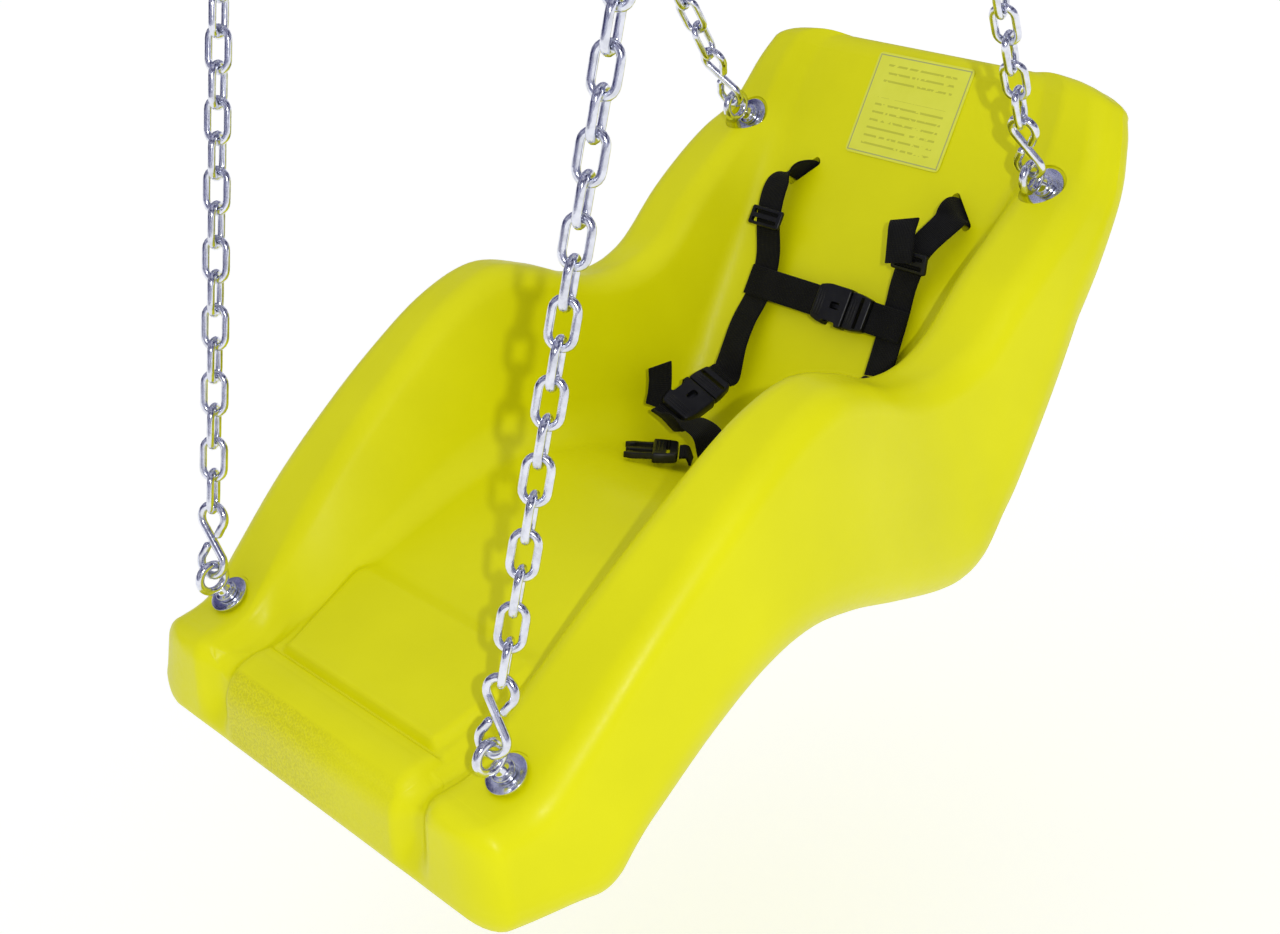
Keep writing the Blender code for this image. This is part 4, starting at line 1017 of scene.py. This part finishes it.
def fine_socket(node, place):
    """Socket of a side-release buckle: mouth, side windows, a central window and grip ridges."""
    half, through = BUCKLE_WIDE / 2, 0.0200
    body = moulded_plate(twin_outline([
        (half, -0.0005, 0.0030), (half, -0.0060, 0.001), (half, -0.0215, 0.001),
        (half - 0.0006, -0.0262, 0.002), (half - 0.0028, -SOCKET_LENGTH, 0.003)]), BUCKLE_THICK, 0.0018)
    cutters = [box_mesh(size, shift(*spot), radius) for size, spot, radius in (
        ((BUCKLE_WIDE - 0.005, BUCKLE_THICK - 0.0040, SOCKET_LENGTH - 0.006),
         (0, 0, -SOCKET_LENGTH / 2 + 0.0045), 0.0008),
        ((0.0056, through, 0.0150), (-0.0158, 0, -0.0138), 0.0020),
        ((0.0056, through, 0.0150), (0.0158, 0, -0.0138), 0.0020),
        ((0.0065, through, 0.0100), (0, -0.0040, -0.0120), 0.0018),
        ((STRAP_WIDTH + 0.001, 0.0030, 0.0070), (0, 0, -SOCKET_LENGTH), 0.0006))]
    ridges = grip_ridges(-0.0305, -0.0250, 0.0215, BUCKLE_THICK)
    add_piece(node, combined([cut(body, cutters)] + ridges), SEAT_TO_WORLD @ place)


def fine_tongue(node, place):
    """Tongue of a side-release buckle: ridged base, two sprung arms and a middle guide."""
    half, base_high, thick = BUCKLE_WIDE / 2 - 0.001, GAP + TONGUE_BASE, BUCKLE_THICK - 0.002
    body = moulded_plate(twin_outline([(half, GAP, 0.0016), (half, 0.0080, 0.004),
                                       (half - 0.0022, base_high, 0.003)]), thick, 0.0016)
    slot = box_mesh((STRAP_WIDTH + 0.0005, 0.0200, 0.0034), shift(0, 0, 0.0125), 0.0010)
    strap_way = box_mesh((STRAP_WIDTH + 0.0005, 0.0030, 0.0080), shift(0, 0, base_high), 0.0006)
    parts = [cut(body, [slot, strap_way])] + grip_ridges(0.0030, 0.0085, 0.0205, thick)
    reach, root = 0.0040 - TONGUE_REACH, 0.0035
    arm = [(0.0082, root), (0.0088, -0.0070), (0.0095, -0.0125), (0.0070, -0.0150), (0.0068, reach + 0.004),
           (0.0090, reach), (0.0112, reach), (0.0128, reach + 0.0055), (0.0129, -0.0135), (0.0126, -0.0105),
           (0.0119, -0.0050), (0.0124, root)]
    for side in (-1, 1):
        outline = rounded([(side * u, w) for u, w in arm], [0.0008] * len(arm), 3, 0.48)
        parts.append(moulded_plate(outline, BUCKLE_THICK - 0.0056, 0.0009, 3))
    tip = 0.0006
    guide = twin_outline([(0.0024, root, tip), (0.0022, reach + 0.005, tip), (0.0010, reach + 0.001, tip)], 3)
    parts.append(moulded_plate(guide, 0.0040, 0.0008, 3))
    add_piece(node, combined(parts), SEAT_TO_WORLD @ place)


def fine_slide(node, place, half, corner, thick, window, soft):
    """Plate with two windows that a strap runs through; `half` and `window` are (across, up)."""
    body = moulded_plate(twin_outline([(half[0], -half[1], corner), (half[0], half[1], corner)]), thick)
    across, height, middle = window
    windows = [box_mesh((across, 0.02, height), shift(0, 0, z), soft) for z in (-middle, middle)]
    add_piece(node, cut(body, windows), SEAT_TO_WORLD @ place)


def fine_adjusters():
    """Three-bar slides on the shoulder straps."""
    for hand, spot, lean in (("left", back_at(-0.0870, -0.050, 0.0200), 0),
                             ("right", back_at(0.0715, -0.052, 0.0245), 0.35)):
        fine_slide(f"strap_adjuster_{hand}", axes(spot, X_AXIS, UP_BACK + OFF_BACK * lean),
                   (0.017, 0.008), 0.0022, 0.0035, (0.0268, 0.0034, 0.0036), 0.0009)


def fine_keepers():
    """Bars that keep the straps behind the shell."""
    for which, depth in (("left", 0.0470), ("right", 0.0470), ("crotch", 0.0520)):
        place = slot_frame(which) @ shift(0, 0, -depth) @ Matrix.Rotation(math.pi / 2, 4, "X")
        fine_slide(f"strap_keeper_{which}", place, (0.025, 0.007), 0.003, 0.005,
                   (0.0275, 0.0026, 0.0030), 0.0008)


def slot_knots(place, sideways=0.0):
    return [place @ Vector((0, sideways, depth)) for depth in (-0.0435, -0.020, 0.004)]


def straight_lead(end, direction):
    return [end, end + direction * 0.004, end + direction * 0.009]


def fine_shoulder_straps():
    place = slot_frame("left")
    down = place.to_3x3() @ X_AXIS * -1
    knots = slot_knots(place) + [back_at(*spot) for spot in (
        (-0.091, -0.016, 0.016), (-0.089, -0.046, 0.016), (-0.079, -0.080, 0.010),
        (-0.076, -0.108, 0.009), (-0.078, -0.135, 0.012), (-0.074, -0.156, 0.017))]
    knots += reversed(straight_lead(LEFT_MOUTH - LEFT_ALONG * (TONGUE_BASE + STRAP_CLEAR), -LEFT_ALONG))
    webbing("shoulder_strap_left", knots,
            [down] * 3 + [down * 0.8 + X_AXIS * 0.6] + [X_AXIS] * 5 + [LEFT_WIDE] * 3)
    place = slot_frame("right")
    out = place.to_3x3() @ X_AXIS
    knots = slot_knots(place) + [back_at(*spot) for spot in (
        (0.086, -0.014, 0.016), (0.074, -0.042, 0.022), (0.066, -0.066, 0.014),
        (0.064, -0.092, 0.007), (0.068, -0.120, 0.009), (0.072, -0.143, 0.012))]
    webbing("shoulder_strap_right", knots, [out] * 3 + [out * 0.8 + X_AXIS * 0.6] + [X_AXIS] * 5)
    webbing("strap_tail_right", [back_at(*spot) for spot in (
        (0.0650, -0.056, 0.0285), (0.0620, -0.043, 0.0300), (0.0585, -0.031, 0.0300),
        (0.0550, -0.022, 0.0270))], [X_AXIS] * 4)


def fine_chest_straps():
    left_off, right_off = 0.0122, 0.0116
    ends = [back_at(-0.0615, CHEST_LINE, left_off),
            back_at(CHEST_MOUTH - SOCKET_LENGTH - STRAP_CLEAR, CHEST_LINE, CHEST_OFF)]
    knots = [back_at(across, CHEST_LINE, left_off) for across in (-0.0885, -0.0760)] + ends
    webbing("chest_strap_left", knots, [UP_BACK] * 4, ("seat", "chest_socket"))
    place = axes(back_at(CHEST_MOUTH, CHEST_LINE, CHEST_OFF), UP_BACK, X_AXIS)
    fine_socket("chest_buckle_socket", place)
    fine_tongue("chest_buckle_tongue", place)
    webbing("chest_strap_right", [back_at(across, CHEST_LINE, off) for across, off in (
        (CHEST_MOUTH + TONGUE_BASE + STRAP_CLEAR, CHEST_OFF), (0.0540, 0.0124),
        (0.0660, right_off), (0.0790, right_off))], [UP_BACK] * 4)


def fine_lower_harness():
    place = axes(LEFT_MOUTH, LEFT_WIDE, -LEFT_ALONG)
    fine_socket("shoulder_buckle_left_socket", place)
    fine_tongue("shoulder_buckle_left_tongue", place)
    crotch = slot_frame("crotch")
    forward = crotch.to_3x3() @ X_AXIS
    knots = straight_lead(LEFT_MOUTH + LEFT_ALONG * (SOCKET_LENGTH + STRAP_CLEAR), LEFT_ALONG)
    knots += [Vector((-0.053, 0.358, 0.059)), Vector((-0.034, 0.362, 0.063)), Vector((-0.013, 0.361, 0.057))]
    knots += reversed(slot_knots(crotch, 0.0010))
    left_turn = (LEFT_WIDE + Vector((0, 0.5, 0))).normalized()
    wides = [LEFT_WIDE] * 3 + [left_turn, Vector((0.4, 0.9, 0)), Vector((0.5, 0.86, 0))] + [forward] * 3
    webbing("crotch_strap_left", knots, wides, ("seat", "shoulder_socket"))
    webbing("strap_tail_left", [Vector((-0.0890, 0.376, 0.0560)), Vector((-0.0925, 0.381, 0.0640)),
                                Vector((-0.0955, 0.385, 0.0770)), Vector((-0.0960, 0.385, 0.0890))],
            [Vector((0, 1, -0.1))] * 4)
    loose_mouth = Vector((-0.040, 0.325, 0.0480))
    loose_along = Vector((-0.72, -0.69, 0.03)).normalized()
    loose_side = Vector((0.69, -0.72, 0)).normalized()
    fine_tongue("shoulder_buckle_right_tongue", axes(loose_mouth, loose_side, -loose_along))
    tongue_end = loose_mouth - loose_along * (TONGUE_BASE + STRAP_CLEAR)
    webbing("crotch_strap_right", [tongue_end, tongue_end - loose_along * 0.006,
                                   Vector((-0.0170, 0.3455, 0.0400))], [loose_side] * 3)
    fine_socket("shoulder_buckle_right_socket",
                axes(back_at(0.0755, -0.1795, 0.0175), X_AXIS, (UP_BACK * -0.97 + OFF_BACK * 0.16)))


fine_keepers()
fine_shoulder_straps()
fine_adjusters()
fine_chest_straps()
fine_lower_harness()


# ---- stage, light and camera
FLOOR_DEPTH, FLOOR_SIZE = 1.55, 60.0
SENSOR = 36                                   # millimetres across
LENS = 1.5034375 * SENSOR
VIEW_TURN, VIEW_DIP = math.radians(47.74), math.radians(23.76)
VIEW_AWAY = Vector((-0.204, 0.131, 1.306))    # seat's origin in the camera's right, down and forward
SEAT_MIDDLE = Vector((0.0, 0.2, 0.05))
KEY_RIGHT, KEY_UP, KEY_REACH, KEY_SIZE, KEY_POWER = 0.095, 0.03, 1.3, 0.034, 11.5
FLOOR_GLOW, WORLD_LIGHT = 0.34, 0.86


def make_floor():
    """Pale floor that glows faintly, as a lit studio sweep does, so that it stays near white."""
    made, tree, shader = node_material("studio_floor", (0.93, 0.93, 0.94), 0.95)
    tone = ramp(tree, noise(tree, 0.8), (0.3, (0.925, 0.925, 0.93)), (0.7, (0.94, 0.94, 0.945)))
    tree.links.new(tone, shader.inputs["Base Color"])
    shader.inputs["Specular IOR Level"].default_value = 0.1
    shader.inputs["Emission Color"].default_value = (1, 1, 1, 1)
    shader.inputs["Emission Strength"].default_value = FLOOR_GLOW
    return made


def build_floor():
    work = bmesh.new()
    bmesh.ops.create_grid(work, x_segments=8, y_segments=8, size=FLOOR_SIZE / 2,
                          matrix=shift(0, 0, -FLOOR_DEPTH))
    floor = linked("floor", mesh_of(work))
    floor.data.materials.append(make_floor())
    return floor


def build_world():
    """Soft white surround for the diffuse light; mirrors see a bluish, banded studio instead."""
    world = bpy.data.worlds.new("studio")
    bpy.context.scene.world = world
    world.use_nodes = True
    tree = world.node_tree
    background = tree.nodes["Background"]
    direction = tree.nodes.new("ShaderNodeTexCoord").outputs["Generated"]
    soft = ramp(tree, split_xyz(tree, direction)["Z"], (0.0, (0.55, 0.55, 0.57)), (1.0, (1.0, 1.0, 1.0)))
    bands = ramp(tree, noise(tree, 3.2, 1.0, direction), (0.40, (0.01, 0.01, 0.07)), (0.49, (0.10, 0.10, 0.28)),
                 (0.55, (1.15, 1.15, 1.2)), (0.62, (0.22, 0.23, 0.42)))
    glossy = tree.nodes.new("ShaderNodeLightPath").outputs["Is Glossy Ray"]
    tree.links.new(mixed(tree, glossy, soft, bands), background.inputs["Color"])
    background.inputs["Strength"].default_value = WORLD_LIGHT


def view_axes():
    """The camera's place and its right, down and forward directions, in the seat's frame."""
    turn, dip = VIEW_TURN, VIEW_DIP
    right = Vector((math.cos(turn), math.sin(turn), 0))
    down = Vector((math.sin(turn) * math.sin(dip), -math.cos(turn) * math.sin(dip), -math.cos(dip)))
    forward = Vector((-math.sin(turn) * math.cos(dip), math.cos(turn) * math.cos(dip), -math.sin(dip)))
    return -(right * VIEW_AWAY.x + down * VIEW_AWAY.y + forward * VIEW_AWAY.z), right, down, forward


def build_key(floor):
    """Small key lamp just right of the camera, so that the near chain's shadow lies beside it.

    It skips the floor.
    """
    eye, right, down, _ = view_axes()
    spot = SEAT_MIDDLE + (eye + right * KEY_RIGHT - down * KEY_UP - SEAT_MIDDLE) * KEY_REACH
    light = bpy.data.lights.new("key", "AREA")
    light.shape, light.size, light.energy = "DISK", KEY_SIZE, KEY_POWER
    holder = linked("key", light)
    holder.matrix_world = SEAT_TO_WORLD @ axes(spot, X_AXIS, spot - SEAT_MIDDLE)
    unlit = bpy.data.collections.new("key_receivers")
    unlit.objects.link(floor)
    unlit.collection_objects[0].light_linking.link_state = "EXCLUDE"
    holder.light_linking.receiver_collection = unlit


def build_camera():
    eye, right, down, forward = view_axes()
    place = Matrix((right, -down, -forward)).transposed().to_4x4()
    place.translation = eye
    lens = bpy.data.cameras.new("camera")
    lens.lens, lens.sensor_width, lens.clip_end = LENS, SENSOR, 200
    camera = linked("camera", lens)
    camera.matrix_world = SEAT_TO_WORLD @ place
    bpy.context.scene.camera = camera


bpy.context.scene.view_settings.view_transform = "Standard"
floor_plate = build_floor()
build_world()
build_key(floor_plate)
build_camera()
